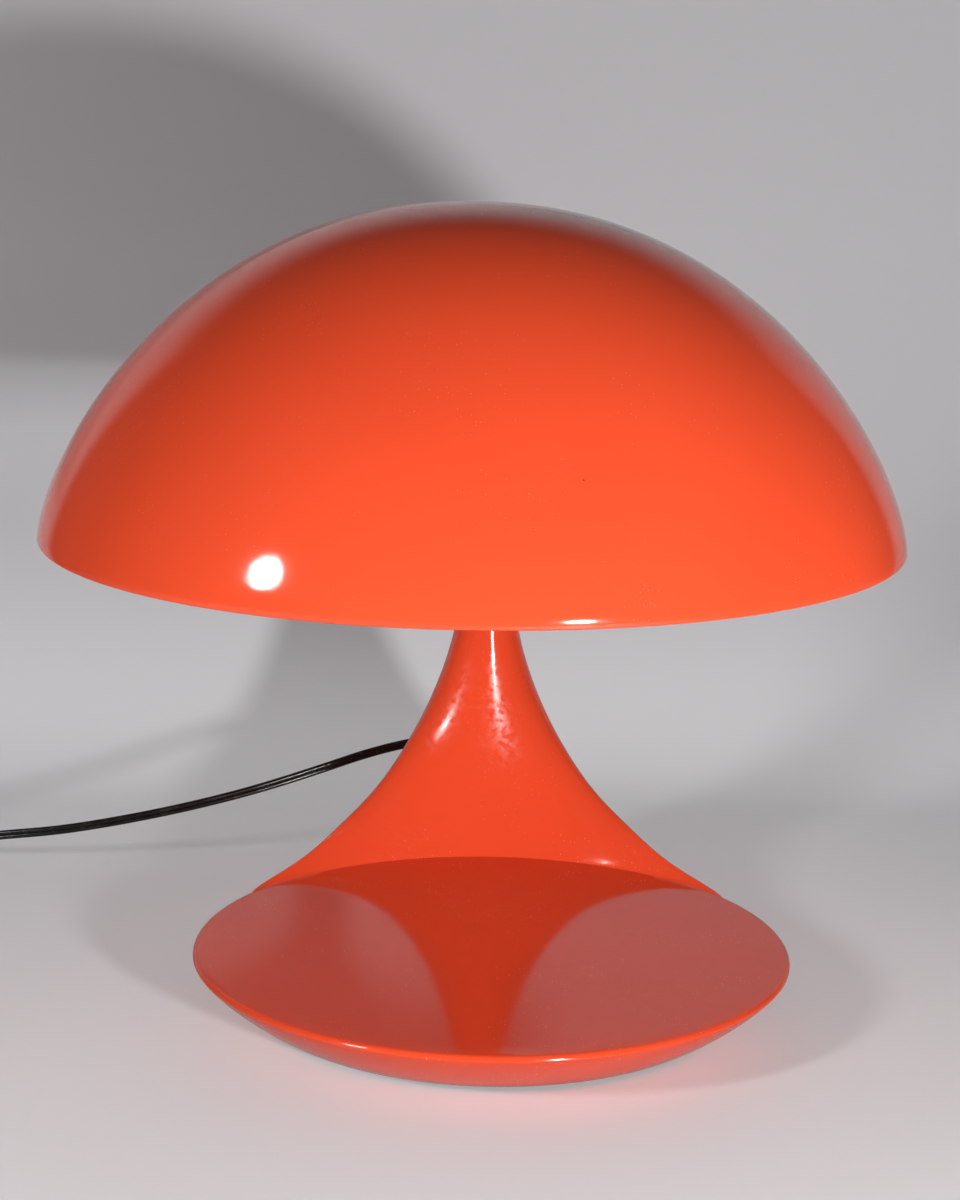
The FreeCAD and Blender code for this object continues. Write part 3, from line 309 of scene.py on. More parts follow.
@dataclass(frozen=True)
class Turned(Finish):
    """Bright metal with fine tool lines round its axis and a little tarnish."""

    name: str
    colour: Colour
    tarnish: Colour
    roughness: float
    lines: Point = (1.0, 1.0, 14.0)

    def paint(self, shader: Shader) -> None:
        """Draw the fine lines and cloud the metal where it has aged."""
        lines = shader.noise(420.0, at=shader.place(self.lines))
        aged = shader.noise(70.0, 4.0, 0.6).spread(0.45, 0.75)
        shader.feed(Base_Color=shader.blend(aged * 0.6, self.colour, self.tarnish), Metallic=1.0,
                    Roughness=self.roughness + lines * 0.12 + aged * 0.15,
                    Normal=shader.bump(lines, 0.00003, 0.4))


@dataclass(frozen=True)
class Frosted(Finish):
    """Acid-frosted bulb glass, lit through by what is round it."""

    name: str = "frosted_glass"
    colour: Colour = (0.90, 0.89, 0.86)
    frost: Colour = (0.84, 0.84, 0.82)

    def paint(self, shader: Shader) -> None:
        """Cloud the frost very slightly."""
        cloud = shader.noise(45.0, 3.0)
        shader.feed(Base_Color=shader.blend(cloud, self.colour, self.frost), Roughness=0.30 + cloud * 0.18,
                    IOR=1.48, Subsurface_Weight=0.35, Subsurface_Scale=0.01,
                    Normal=shader.bump(shader.noise(1800.0, 1.0), 0.00003, 0.5))


@dataclass(frozen=True)
class Sheath(Finish):
    """Soft black sheath of the twin flex, wiped smooth, with a dull bloom."""

    name: str = "flex_sheath"
    colour: Colour = (0.007, 0.006, 0.005)
    bloom: Colour = (0.014, 0.012, 0.011)

    def paint(self, shader: Shader) -> None:
        """Add the bloom and fine rubbed patches."""
        bloom, rub = shader.noise(90.0, 4.0, 0.65).spread(0.42, 0.72), shader.noise(700.0)
        shader.feed(Base_Color=shader.blend(bloom * 0.7, self.colour, self.bloom),
                    Roughness=0.20 + bloom * 0.14 + (rub - 0.5) * 0.1, Normal=shader.bump(rub, 0.00004, 0.5))


@dataclass(frozen=True)
class Paper(Finish):
    """Pale studio paper with painted shade: darker on the wall, high up and far out; it glows at its foot for the
    lens and in mirrors.
    """

    fold: float
    name: str = "paper"
    # wall: the floor's own paper in a darker colour, painted shade for the wall that gets less light
    wall: Colour = (0.545, 0.535, 0.552)
    floor: Colour = (0.90, 0.895, 0.90)
    # above: a dark colour for painted shade high up and at the far sides, where the light falls off
    above: Colour = (0.06, 0.058, 0.058)
    glow: Colour = (0.212, 0.210, 0.212)
    clear_half: float = 0.6

    def paint(self, shader: Shader) -> None:
        """Paint shade on the paper from the floor to the wall and out to its dark edges, and add the glow, weaker
        in mirrors to the left as painted shade.
        """
        tone, (wide, deep, high) = shader.noise(1.3), (shader.axis(k) for k in range(3))
        # painted shade: the paper turns from the floor's colour to the darker wall colour
        colour = shader.blend(deep.spread(self.fold, -0.5), self.wall, self.floor)
        colour = shader.blend(tone.spread(0.3, 0.7) * 0.5, colour, self.wall)
        # painted shade: the paper darkens above 0.56 m
        colour = shader.blend(high.spread(0.56, 0.82), colour, self.above)
        clear = self.clear_half**2
        # painted shade: the paper darkens beyond the clear middle at both sides
        side_shade = (wide * wide).spread(clear, 1.5 * clear) * high.spread(0.0, 0.05)
        seen, mirrored, through = (shader.node("ShaderNodeLightPath", output=f"Is {ray} Ray") for ray in (
            "Camera", "Glossy", "Transmission"))
        # painted shade in reflections: the glow seen in mirrors is weaker to the left, standing in for the lamp's
        # shadow on the wall
        lit = seen + mirrored * wide.spread(-0.25, 0.05, 0.0, 0.35) + through
        shader.feed(Base_Color=shader.blend(side_shade, colour, self.above), Roughness=0.55 + tone * 0.1,
                    Emission_Color=shader.blend(high.spread(0.0, 0.16), self.glow, (0.0, 0.0, 0.0)),
                    Emission_Strength=lit.spread(0.0, 1.0), Specular_IOR_Level=0.15)
        shader.open_back()


class Dress(Enum):
    """The lamp's finishes by the record's material slot. A carried-over node takes the first of its slot."""

    LACQUER = ("lacquer", Lacquer())
    SHEATH = ("cord_rubber", Sheath())
    GLASS = ("bulb_glass", Frosted())
    COVER_PAINT = ("cover_steel", Plain(
        "cover_paint", (0.035, 0.035, 0.037), (0.055, 0.053, 0.052), 0.42, 1400.0, 0.00006))
    FOOT_RUBBER = ("foot_rubber", Plain(
        "foot_rubber", (0.022, 0.021, 0.020), (0.040, 0.038, 0.036), 0.78, 1100.0, 0.00012))
    CAST_IRON = ("iron", Plain(
        "cast_iron", (0.075, 0.072, 0.070), (0.115, 0.095, 0.080), 0.72, 500.0, 0.0003, 0.6, 60.0))
    NYLON = ("nylon", Plain("nylon", (0.72, 0.69, 0.60), (0.78, 0.76, 0.68), 0.48, 700.0, 0.00003))
    BLOCK = ("block_plastic", Plain(
        "block_moulding", (0.74, 0.72, 0.66), (0.80, 0.79, 0.74), 0.42, 900.0, 0.00003))
    BAKELITE = ("black_plastic", Plain(
        "black_moulding", (0.020, 0.019, 0.018), (0.032, 0.030, 0.029), 0.30, 1300.0, 0.00003))
    RELIEF = ("black_plastic", Plain(
        "relief_rubber", (0.024, 0.022, 0.021), (0.040, 0.037, 0.035), 0.52, 1200.0, 0.00004))
    INSULATOR = ("bulb_black", Plain(
        "cap_insulator", (0.030, 0.029, 0.034), (0.05, 0.048, 0.052), 0.22, 500.0, 0.00003))
    ZINC = ("steel", Turned("zinc_plate", (0.66, 0.66, 0.64), (0.50, 0.48, 0.42), 0.30))
    BRASS = ("brass", Turned("brass", (0.80, 0.58, 0.26), (0.52, 0.34, 0.15), 0.24))
    CAP_METAL = ("bulb_metal", Turned("cap_metal", (0.78, 0.78, 0.77), (0.60, 0.59, 0.57), 0.26, (1.0, 1.0, 1.0)))

    def __init__(self, slot: str, finish: Finish) -> None:
        """Keep the slot's name and the finish."""
        self.slot, self.finish = slot, finish

    @classmethod
    def of(cls, slot: str) -> "Dress":
        """Return the first finish of a material slot."""
        return next(item for item in cls if item.slot == slot)

    def on(self, piece: bpy.types.Object) -> None:
        """Give a piece this finish alone."""
        piece.data.materials.clear()
        piece.data.materials.append(self.finish.material())


# Mesh tools


def stand(name: str, data: bpy.types.ID) -> bpy.types.Object:
    """Return a new object of that data, linked to the scene."""
    made = bpy.data.objects.new(name, data)
    bpy.context.scene.collection.objects.link(made)
    return made


class Form:
    """A mesh in the making, in millimetres in the row frame."""

    def __init__(self) -> None:
        """Start an empty mesh."""
        self.mesh = bmesh.new()

    def skin(self, lines: Sequence[Sequence[Point]]) -> None:
        """Add a grid whose crossings are put on lines of points.

        Args:
            lines: the lines in millimetres, of as many points each.
        """
        columns, rows = len(lines[0]) - 1, len(lines) - 1
        grid = bmesh.ops.create_grid(self.mesh, x_segments=columns, y_segments=rows, size=1.0)
        for vert in grid["verts"]:
            vert.co = lines[round((vert.co.y + 1) / 2 * rows)][round((vert.co.x + 1) / 2 * columns)]

    def loft(self, rings: Sequence[Sequence[Point]]) -> None:
        """Add a closed skin over rings of as many points each, with both ends closed to their middles.

        Args:
            rings: the points of each ring, in order round it.
        """
        steps = len(rings[0])
        first, last = (tuple(sum(p[k] for p in ring) / steps for k in range(3))
                       for ring in (rings[0], rings[-1]))
        self.skin([[*ring, ring[0]] for ring in ([first] * steps, *rings, [last] * steps)])

    @classmethod
    def of(cls, data: bpy.types.Mesh) -> "Form":
        """Start from mesh data in metres.

        Args:
            data: the data, which stays as it is.

        Returns:
            The form, with its doubles merged.
        """
        form = cls()
        form.mesh.from_mesh(data)
        bmesh.ops.scale(form.mesh, vec=(1 / MM, 1 / MM, 1 / MM), verts=form.mesh.verts[:])
        bmesh.ops.remove_doubles(form.mesh, verts=form.mesh.verts[:], dist=0.001)
        return form

    @classmethod
    def copy(cls, node: str) -> "Form":
        """Return a CAD node's shape as clean flat faces, ready to have its edges rounded."""
        form = cls.of(frame["nodes"][node].data)
        mesh = form.mesh
        bmesh.ops.dissolve_limit(mesh, angle_limit=0.01, verts=mesh.verts[:], edges=mesh.edges[:])
        return form

    def weld(self, distance: float = 0.01,
             up: Optional[Callable[[bmesh.types.BMFace], float]] = None) -> None:
        """Merge doubles and turn every face outwards.

        Args:
            distance: how near doubles are, in millimetres.
            up: for an open skin, a rank of its faces: the highest one faces up.
        """
        bmesh.ops.remove_doubles(self.mesh, verts=self.mesh.verts[:], dist=distance)
        bmesh.ops.dissolve_degenerate(self.mesh, edges=self.mesh.edges[:], dist=distance / 10)
        bmesh.ops.recalc_face_normals(self.mesh, faces=self.mesh.faces[:])
        if up and max(self.mesh.faces, key=up).normal.z < 0:
            bmesh.ops.reverse_faces(self.mesh, faces=self.mesh.faces[:])

    def wall(self, thick: float, share: Optional[Callable[[Vector], float]] = None) -> None:
        """Give a skin its wall, inwards.

        Args:
            thick: the wall in millimetres.
            share: how much of it the wall has at a point of the skin.
        """
        seed = self.mesh.verts.layers.int.new("seed")
        spots = []
        for index, vert in enumerate(self.mesh.verts):
            vert[seed] = index
            spots.append(vert.co.copy())
        bmesh.ops.solidify(self.mesh, geom=self.mesh.faces[:], thickness=thick)
        if share:
            for vert in self.mesh.verts:
                spot = spots[vert[seed]]
                vert.co = spot + (vert.co - spot) * share(spot)

    def round_edges(self, chosen: Callable[[bmesh.types.BMEdge], bool], radius: float, segments: int = 2,
                    clamp: bool = False) -> None:
        """Round the chosen sharp edges.

        Args:
            chosen: says whether an edge is one of them.
            radius: the width of the rounding in millimetres.
            segments: steps in the rounding.
            clamp: stop where roundings would meet.
        """
        edges = [edge for edge in self.mesh.edges
                 if len(edge.link_faces) == 2 and edge.calc_face_angle(0.0) > CRISP and chosen(edge)]
        bmesh.ops.bevel(self.mesh, geom=edges, offset=radius, offset_type="OFFSET", segments=segments,
                        profile=0.5, affect="EDGES", material=-1, clamp_overlap=clamp)

    def data(self, name: str) -> bpy.types.Mesh:
        """Turn the mesh into data in metres.

        Args:
            name: the data's name.

        Returns:
            The data, shaded smooth.
        """
        bmesh.ops.scale(self.mesh, vec=(MM, MM, MM), verts=self.mesh.verts[:])
        data = bpy.data.meshes.new(name)
        self.mesh.to_mesh(data)
        self.mesh.free()
        data.shade_smooth()
        return data

    def finish(self, name: str, body: str, dress: Dress, nodes: Sequence[str],
               smooth: float) -> bpy.types.Object:
        """Turn the mesh into a piece of the lamp that rides on its body, in place of its CAD nodes.

        Args:
            name: the piece's name.
            body: the body that it rides on.
            dress: its finish and material slot.
            nodes: the CAD nodes that it stands for.
            smooth: edges sharper than this many degrees stay crisp.

        Returns:
            The piece.
        """
        piece = stand(name, self.data(name))
        piece.data.set_sharp_from_angle(angle=math.radians(smooth))
        dress.on(piece)
        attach(piece, body)
        if nodes:
            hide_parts(*nodes)
        LOG.info("%s rides on %s, %d faces", name, body, len(piece.data.polygons))
        return piece


def quarter(share: float, power: float) -> float:
    """Return a rounded rise from 0 to 1, flat at its end."""
    share = min(max(share, 0.0), 1.0)
    return (1 - (1 - share) ** power) ** (1 / power)


def bezier(points: Sequence[Point], share: float) -> tuple[float, float]:
    """Return the point of a cubic curve at a share of its way."""
    s, t = 1 - share, share
    weights = (s * s * s, 3 * s * s * t, 3 * s * t * t, t * t * t)
    return tuple(sum(w * p[k] for w, p in zip(weights, points)) for k in (0, 1))


def mix(first: Point, second: Point, share: float) -> tuple[float, ...]:
    """Return the point part of the way from one to another."""
    return tuple(a + (b - a) * share for a, b in zip(first, second))


def soft_max(first: float, second: float, reach: float) -> float:
    """Return the greater of two lengths, with a fillet where they are nearly equal."""
    near = max(reach - abs(first - second), 0.0) / reach if second > reach > 0 else 0.0
    return max(first, second) + near * near * reach / 4


def polar(curve: Sequence[Point], angle: float) -> float:
    """Return how far a curve lies from the origin in a direction.

    Args:
        curve: its points, from the widest angle to 0.
        angle: the angle from +Y, at least 0.

    Returns:
        The distance, which falls away beyond the curve's end.
    """
    turns = [math.atan2(x, y) for x, y in curve]
    past = angle - turns[0]
    if past > 0:
        return math.hypot(*curve[0]) * (1 - 0.7 * past - 3.0 * past**2)
    for (a, b), (p, q) in zip(zip(turns, turns[1:]), zip(curve, curve[1:])):
        if b <= angle <= a:
            return math.hypot(*mix(p, q, (a - angle) / max(a - b, 1e-9)))
    return math.hypot(*curve[-1])


def fold(angle: float) -> float:
    """Return how far an angle lies from 0, whichever way round."""
    return abs((angle + math.pi) % math.tau - math.pi)


# Studio


@dataclass
class Camera:
    """The camera at the photograph's place, in metres, and its long lens, in millimetres."""

    spot: Point = (-0.0427, -1.2946, 0.4905)
    right: Point = (0.9996, -0.0220, 0.0184)
    up: Point = (-0.0133, 0.2134, 0.9769)
    lens: float = 81.0
    sensor: float = 36.0
    clip: tuple[float, float] = (0.05, 30.0)

    def build(self) -> None:
        """Make the camera and use it."""
        data = bpy.data.cameras.new("camera")
        data.lens, data.sensor_width = self.lens, self.sensor
        data.clip_start, data.clip_end = self.clip
        camera = stand("camera", data)
        across = Vector(self.right).normalized()
        back = across.cross(Vector(self.up)).normalized()
        turn = Matrix((across, back.cross(across), back)).transposed().to_4x4()
        camera.matrix_world = Matrix.Translation(Vector(self.spot)) @ turn
        bpy.context.scene.camera = camera


@dataclass
class Softbox:
    """A round soft light, in metres and watts, aimed at a point of the lamp.

    One that isn't glossy leaves no reflection, and one that isn't diffuse leaves nothing else.
    """

    name: str
    spot: Point
    size: tuple[float, float]
    power: float
    aim: Point = (0.0, 0.0, 0.22)
    glossy: bool = True
    diffuse: bool = True

    def build(self) -> None:
        """Hang the light."""
        data = bpy.data.lights.new(self.name, "AREA")
        data.shape, data.energy = "ELLIPSE", self.power
        data.size, data.size_y = self.size
        light = stand(self.name, data)
        light.location = self.spot
        light.rotation_euler = (Vector(self.aim) - Vector(self.spot)).to_track_quat("-Z", "Y").to_euler()
        light.visible_camera, light.visible_glossy, light.visible_diffuse = False, self.glossy, self.diffuse


@dataclass
class Studio:
    """A pale sweep of paper behind and under the lamp, with its lights and a dim room, in metres."""

    half_width: float = 4.0
    front: float = -5.0
    back: float = 0.50
    bend: float = 0.16
    height: float = 2.6
    steps: int = 24
    room: Colour = (0.015, 0.015, 0.01545)
    room_seen: Colour = (0.60, 0.60, 0.61)
    lights: list[Softbox] = field(default_factory=lambda: [
        Softbox("left_box", (-1.283, -1.015, 0.770), (0.24, 0.34), 12.6, aim=(0.3, 0.0, 0.15)),
        Softbox("right_lamp", (0.44, -1.12, 0.256), (0.10, 0.10), 12.9, glossy=False),
        Softbox("right_glint", (0.44, -1.12, 0.165), (0.10, 0.10), 11.0, diffuse=False),
        Softbox("overhead", (0.0, -0.6, 2.4), (2.4, 2.4), 1.0, glossy=False),
    ])

    def build(self) -> None:
        """Lay the paper, hang the lights and set the world."""
        start = self.back - self.bend
        turns = [math.pi / 2 * k / self.steps for k in range(1, self.steps + 1)]
        arc = [(start + self.bend * math.sin(turn), self.bend - self.bend * math.cos(turn)) for turn in turns]
        line = [(self.front, 0.0), (start, 0.0), *arc, (self.back, self.height)]
        form = Form()
        form.skin([[(side * self.half_width / MM, y / MM, z / MM) for side in (-1, 1)] for y, z in line])
        form.weld(up=lambda face: -face.calc_center_median().z)
        sweep = stand("paper_sweep", form.data("paper_sweep"))
        sweep.data.materials.append(Paper(start).material())
        for light in self.lights:
            light.build()
        self._world()
        bpy.context.scene.view_settings.view_transform = "Standard"

    def _world(self) -> None:
        """Light everything dimly from all round, and show the camera a pale room."""
        room = Shader("room", "worlds")
        lit, pale = (room.node("ShaderNodeBackground", {}, {"Color": c}) for c in (self.room, self.room_seen))
        seen = room.node("ShaderNodeLightPath", output="Is Camera Ray")
        room.join(room.surface, room.node("ShaderNodeMixShader", {}, {0: seen, 1: lit, 2: pale}))
        bpy.context.scene.world = room.owner


# Flex


def curve(name: str, kind: str, points: Sequence[Point], **settings: object) -> bpy.types.Object:
    """Make a curve of one spline.

    Args:
        name: its name.
        kind: its spline's type.
        points: its spline's points in metres.
        settings: its data's settings, set before the points.

    Returns:
        The curve's object.
    """
    data = bpy.data.curves.new(name, "CURVE")
    for key, value in settings.items():
        setattr(data, key, value)
    spline = data.splines.new(kind)
    spline.points.add(len(points) - 1)
    for point, spot in zip(spline.points, points):
        point.co = (*spot, 1.0)
    return stand(name, data)


def as_mesh(piece: bpy.types.Object) -> bpy.types.Mesh:
    """Return a curve's shape as mesh data."""
    return bpy.data.meshes.new_from_object(piece.evaluated_get(bpy.context.evaluated_depsgraph_get()))


@dataclass
class Flex:
    """The flat black twin flex: a section swept along a soft route, in millimetres."""

    width: float = 5.4
    thick: float = 3.0
    groove: float = 0.55

    def section(self) -> list[tuple[float, float]]:
        """Draw the section: two round cores side by side with a groove between.

        Returns:
            The corners of its outline, in order.
        """
        core, off = self.thick / 2, (self.width - self.thick) / 2
        bite = math.acos(min(off / core, 1.0)) * 0.62
        right = [(off + core * math.cos(a), core * math.sin(a))
                 for a in (-math.pi + bite + (2 * math.pi - 2 * bite) * k / 16 for k in range(17))]
        waist = core - self.groove
        return [(0.0, -waist), *right, (0.0, waist), *[(-x, -y) for x, y in right]]

    def sweep(self, name: str, route: Sequence[Point], tilt: float,
              nodes: Sequence[str] = ()) -> tuple[bpy.types.Object, list[Point]]:
        """Sweep the section along a route.

        Args:
            name: the piece's name.
            route: the points in metres.
            tilt: the turn of the section.
            nodes: the CAD nodes that it stands for.

        Returns:
            The flex as a mesh, and the points of its centreline.
        """
        guide = curve(name + "_guide", "NURBS", route, dimensions="3D", twist_mode="Z_UP", resolution_u=6)
        spline = guide.data.splines[0]
        for point in spline.points:
            point.tilt = tilt
        spline.order_u = 3
        spline.use_endpoint_u = True
        path = [tuple(v.co) for v in as_mesh(guide).vertices]
        die = curve(name + "_outline", "POLY", [(x * MM, y * MM, 0.0) for x, y in self.section()])
        die.data.splines[0].use_cyclic_u = True
        guide.data.bevel_mode, guide.data.bevel_object, guide.data.use_fill_caps = "OBJECT", die, True
        form = Form.of(as_mesh(guide))
        for spare in (guide, die):
            bpy.data.objects.remove(spare)
        bmesh.ops.recalc_face_normals(form.mesh, faces=form.mesh.faces[:])
        return form.finish(name, "foot", Dress.SHEATH, nodes, 60.0), path


def length(path: Sequence[Point]) -> float:
    """Return the length of a path in metres, to the millimetre."""
    return round(sum(math.dist(a, b) for a, b in zip(path, path[1:])), 3)


def station(path: Sequence[Point], distance: float) -> tuple[Vector, Vector]:
    """Find a place along a path.

    Args:
        path: its points.
        distance: how far the place is from its start.

    Returns:
        The point there, and the path's direction.
    """
    left = distance
    for a, b in zip(path, path[1:]):
        step = math.dist(a, b)
        if left <= step or b is path[-1]:
            way = (Vector(b) - Vector(a)).normalized()
            return Vector(a) + way * left, way
        left -= step
    raise ValueError("a path needs two points")


def oval(middle: Vector, side: Vector, up: Vector, half: tuple[float, float], power: float = 2.0,
         steps: int = 32) -> list[Point]:
    """Return a ring of points on a rounded oval.

    Args:
        middle: its middle.
        side: the direction of its first half size.
        up: the direction of its second.
        half: its half sizes.
        power: 2 is an ellipse, more is squarer.
        steps: how many points.

    Returns:
        The points in order.
    """
    ring = []
    for k in range(steps):
        c, s = math.cos(math.tau * k / steps), math.sin(math.tau * k / steps)
        across = math.copysign(abs(c) ** (2 / power), c) * half[0]
        above = math.copysign(abs(s) ** (2 / power), s) * half[1]
        ring.append(tuple(middle + side * across + up * above))
    return ring


@dataclass(frozen=True)
class Boot:
    """A ribbed rubber sleeve that tapers along the flex where it leaves a housing, in millimetres."""

    length: float = 22.0
    base: float = 5.2
    tip: tuple[float, float] = (2.35, 3.6)
    ribs: int = 6
    groove: float = 0.55
    flange: float = 0.0
    collar: float = 0.0

    def build(self, name: str, path: Sequence[Point], start: float,
              nodes: Sequence[str] = ()) -> bpy.types.Object:
        """Loft the sleeve along a flex.

        Args:
            name: the piece's name.
            path: the flex's centreline in metres, running out of the housing.
            start: how far along it the sleeve starts.
            nodes: the CAD nodes that it stands for.

        Returns:
            The sleeve.
        """
        profile = []
        if self.flange:
            profile += [(rise, (self.flange - inset,) * 2) for rise, inset in (
                (0.0, 0.0), (self.collar - 0.7, 0.0), (self.collar - 0.2, 0.25), (self.collar, 0.8))]
        for k in range(self.ribs):
            for part, sunk in ((0.0, 0.0), (0.08, 0.0), (0.56, 0.0), (0.64, 1.0), (0.92, 1.0), (1.0, 0.0)):
                share = (k + part) / self.ribs
                sizes = mix((self.base, self.base), self.tip, share)
                cut = self.groove * sunk * (k < self.ribs - 1)
                profile.append((self.collar + share * self.length, tuple(size - cut for size in sizes)))
        rings = []
        for distance, sizes in profile:
            spot, way = station(path, (start + distance) * MM)
            side = way.cross(Vector((0, 0, 1))).normalized()
            rings.append(oval(spot / MM, side, side.cross(way), sizes))
        form = Form()
        form.loft(rings)
        form.weld()
        return form.finish(name, "foot", Dress.RELIEF, nodes, 50.0)


@dataclass
class Plug:
    """The flat two-pin plug: a waisted, grooved body with sleeves on its pins, in millimetres."""

    spot: Point = (-385.6, 162.2, 6.85)
    half: tuple[float, float] = (12.5, 6.85)
    grips: int = 5
    pin_gap: float = 18.6
    pin_start: float = 36.0
    sleeve: float = 10.0

    def build(self) -> list[bpy.types.Object]:
        """Loft the body and turn the pins' sleeves.

        Returns:
            The new pieces.
        """
        full, thick = self.half
        outline = [(0.0, 5.0, 5.0, 2.0), (1.6, 5.7, 5.4, 2.1), (5.0, 7.6, 5.9, 2.3), (9.0, 10.0, 6.5, 2.6)]
        for k in range(self.grips):
            outline += [(11.0 + 2.2 * k + step, 11.3 + 0.18 * k - sunk, thick, 3.0) for step, sunk in (
                (0.0, 0.0), (1.0, 0.0), (1.3, 0.5), (1.9, 0.5))]
        outline += [(22.4, 12.3, thick, 3.4), (26.0, full, thick, 3.8), (34.4, full, thick, 4.2),
                    (35.3, 12.3, 6.65, 4.2), (35.8, 11.8, 6.2, 4.2), (36.0, 11.2, 5.6, 4.2)]
        side, up = Vector((0, 1, 0)), Vector((0, 0, 1))
        body = Form()
        body.loft([oval(Vector(self.spot) + Vector((x, 0, 0)), side, up, (wide, high), power, 48)
                   for x, wide, high, power in outline])
        body.weld()
        sleeves = Form()
        for sign in (-1, 1):
            start = Vector(self.spot) + Vector((self.pin_start, sign * self.pin_gap / 2, 0))
            sleeves.loft([oval(start + Vector((x, 0, 0)), side, up, (radius, radius), 2.0, 28) for x, radius in (
                (-0.5, 2.2), (0.0, 2.2), (self.sleeve - 0.5, 2.12), (self.sleeve, 2.04))])
        sleeves.weld()
        return [body.finish("plug_moulding", "foot", Dress.RELIEF, ["plug_body"], 30.0),
                sleeves.finish("pin_sleeves", "foot", Dress.BAKELITE, [], 40.0)]


@dataclass
class Switch:
    """The in-line switch: two case halves and a rocker, with every outer edge rounded, in millimetres."""

    edge: float = 1.5
    rocker_edge: float = 0.7
    middle: tuple[float, float] = (-392.0, 231.0)
    inside: tuple[float, float] = (30.0, 12.0)

    def build(self) -> list[bpy.types.Object]:
        """Round the edges of the case halves and the rocker.

        Returns:
            The pieces that stand on the flex.
        """
        made = []
        for node, name, end in (("switch_base", "switch_case_low", 0), ("switch_cover", "switch_case_top", 1)):
            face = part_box(node)[end][2] / MM
            case = Form.copy(node)
            case.round_edges(lambda edge: self.proud(edge, face), self.edge, 3, True)
            made.append(case.finish(name, "foot", Dress.BAKELITE, [node], 35.0))
        key = Form.copy("switch_rocker")
        key.round_edges(lambda edge: True, self.rocker_edge, 3, True)
        return [*made, key.finish("switch_key", "rocker", Dress.BAKELITE, ["switch_rocker"], 35.0)]

    def proud(self, edge: bmesh.types.BMEdge, face: float) -> bool:
        """Find the edges on the outside of the case, away from its seam.

        Args:
            edge: an edge of a case half.
            face: the height of that half's outer face.

        Returns:
            Whether the edge is one of them.
        """
        spots = [v.co for v in edge.verts]
        level = all(abs(spot.z - face) < 0.05 for spot in spots)
        upright = abs(spots[0].z - spots[1].z) > 6.0 and any(
            abs(spots[0][k] - self.middle[k]) > self.inside[k] for k in range(2))
        return edge.is_convex and (level or upright)


@dataclass
class Cordset:
    """The whole lead outside the foot: flex to the switch, switch, put-away coil and plug."""

    flex: Flex = field(default_factory=Flex)
    visible: Sequence[Point] = (
        (0.0, 0.196, 0.070), (0.0, 0.225, 0.070), (-0.009, 0.240, 0.0715), (-0.032, 0.2475, 0.0697),
        (-0.064, 0.240, 0.0640), (-0.097, 0.229, 0.0548), (-0.133, 0.220, 0.0450), (-0.170, 0.214, 0.0365),
        (-0.208, 0.211, 0.0288), (-0.246, 0.211, 0.0220), (-0.282, 0.215, 0.0176), (-0.312, 0.2205, 0.0118),
        (-0.337, 0.2265, 0.0088), (-0.360, 0.231, 0.0085))
    inner: Sequence[Point] = (
        (0.0, 0.114, 0.0195), (0.0, 0.146, 0.0195), (0.0, 0.166, 0.040), (0.0, 0.170, 0.058),
        (0.0, 0.182, 0.070), (0.0, 0.1958, 0.070))
    before_coil: Sequence[Point] = (
        (-0.424, 0.231, 0.0085), (-0.442, 0.2316, 0.0068), (-0.461, 0.2318, 0.0036), (-0.4806, 0.231, 0.00275))
    after_coil: Sequence[Point] = (
        (-0.4806, 0.1486, 0.00885), (-0.4626, 0.1492, 0.00835), (-0.4436, 0.1534, 0.00745),
        (-0.4236, 0.1594, 0.00685), (-0.4046, 0.1622, 0.00685), (-0.3856, 0.1622, 0.00685))
    middle: Point = (-0.486, 0.1898)
    inmost: float = 0.0196
    pitch: float = 0.0072
    turns: int = 3
    low: float = 0.00275
    lift: float = 0.0061
    per_turn: int = 16

    def coil(self) -> list[Point]:
        """Wind the coil: a layer that winds in, a climb, and a layer that winds out.

        Returns:
            The route's points in metres.
        """
        outward = 1.0 / math.cos(math.pi / self.per_turn)
        reach = self.inmost + self.turns * self.pitch
        steps, climb = self.turns * self.per_turn, self.per_turn // 2
        points = []
        for k in range(1, 2 * steps + climb):
            if k <= steps:
                radius, rise = reach - self.pitch * k / self.per_turn, 0.0
            elif k < steps + climb:
                radius, rise = self.inmost, (k - steps) / climb
            else:
                radius, rise = self.inmost + self.pitch * (k - steps - climb) / self.per_turn, 1.0
            angle = math.pi / 2 + math.tau * k / self.per_turn
            points.append((self.middle[0] + radius * outward * math.cos(angle),
                           self.middle[1] + radius * outward * math.sin(angle), self.low + self.lift * rise))
        return points

    def build(self) -> None:
        upright, nodes = math.pi / 2, frame["nodes"]
        lead, path = self.flex.sweep("flex_to_switch", self.visible, upright, ["cord_lead"])
        tail, _ = self.flex.sweep("flex_in_foot", self.inner, 0.0)
        wound, wound_path = self.flex.sweep("flex_to_plug", [*self.before_coil, *self.coil(), *self.after_coil],
                                            upright, ["switch_lead", "cord_coil", "plug_lead"])
        relief = Boot(24.0, 5.4, flange=8.0, collar=8.0).build("cord_relief", path, 6.0, ["cord_grommet"])
        near = Boot().build("switch_boot_near", path[::-1], -1.0)
        far = Boot().build("switch_boot_far", wound_path, -1.0)
        last = Boot(24.0, 4.9).build("plug_boot", wound_path[::-1], -1.0)
        on_lead = [tail, relief, near, *Switch().build(), *[nodes[n] for n in (
            "switch_screws", "switch_axle", "switch_contacts")]]
        plug = [far, last, *Plug().build(), nodes["plug_pins"]]
        LOG.info("flex lengths %.3f and %.3f m", length(path), length(wound_path))
        length(path)
        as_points(path)
        length(wound_path)
        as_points(wound_path)


# Foot and head


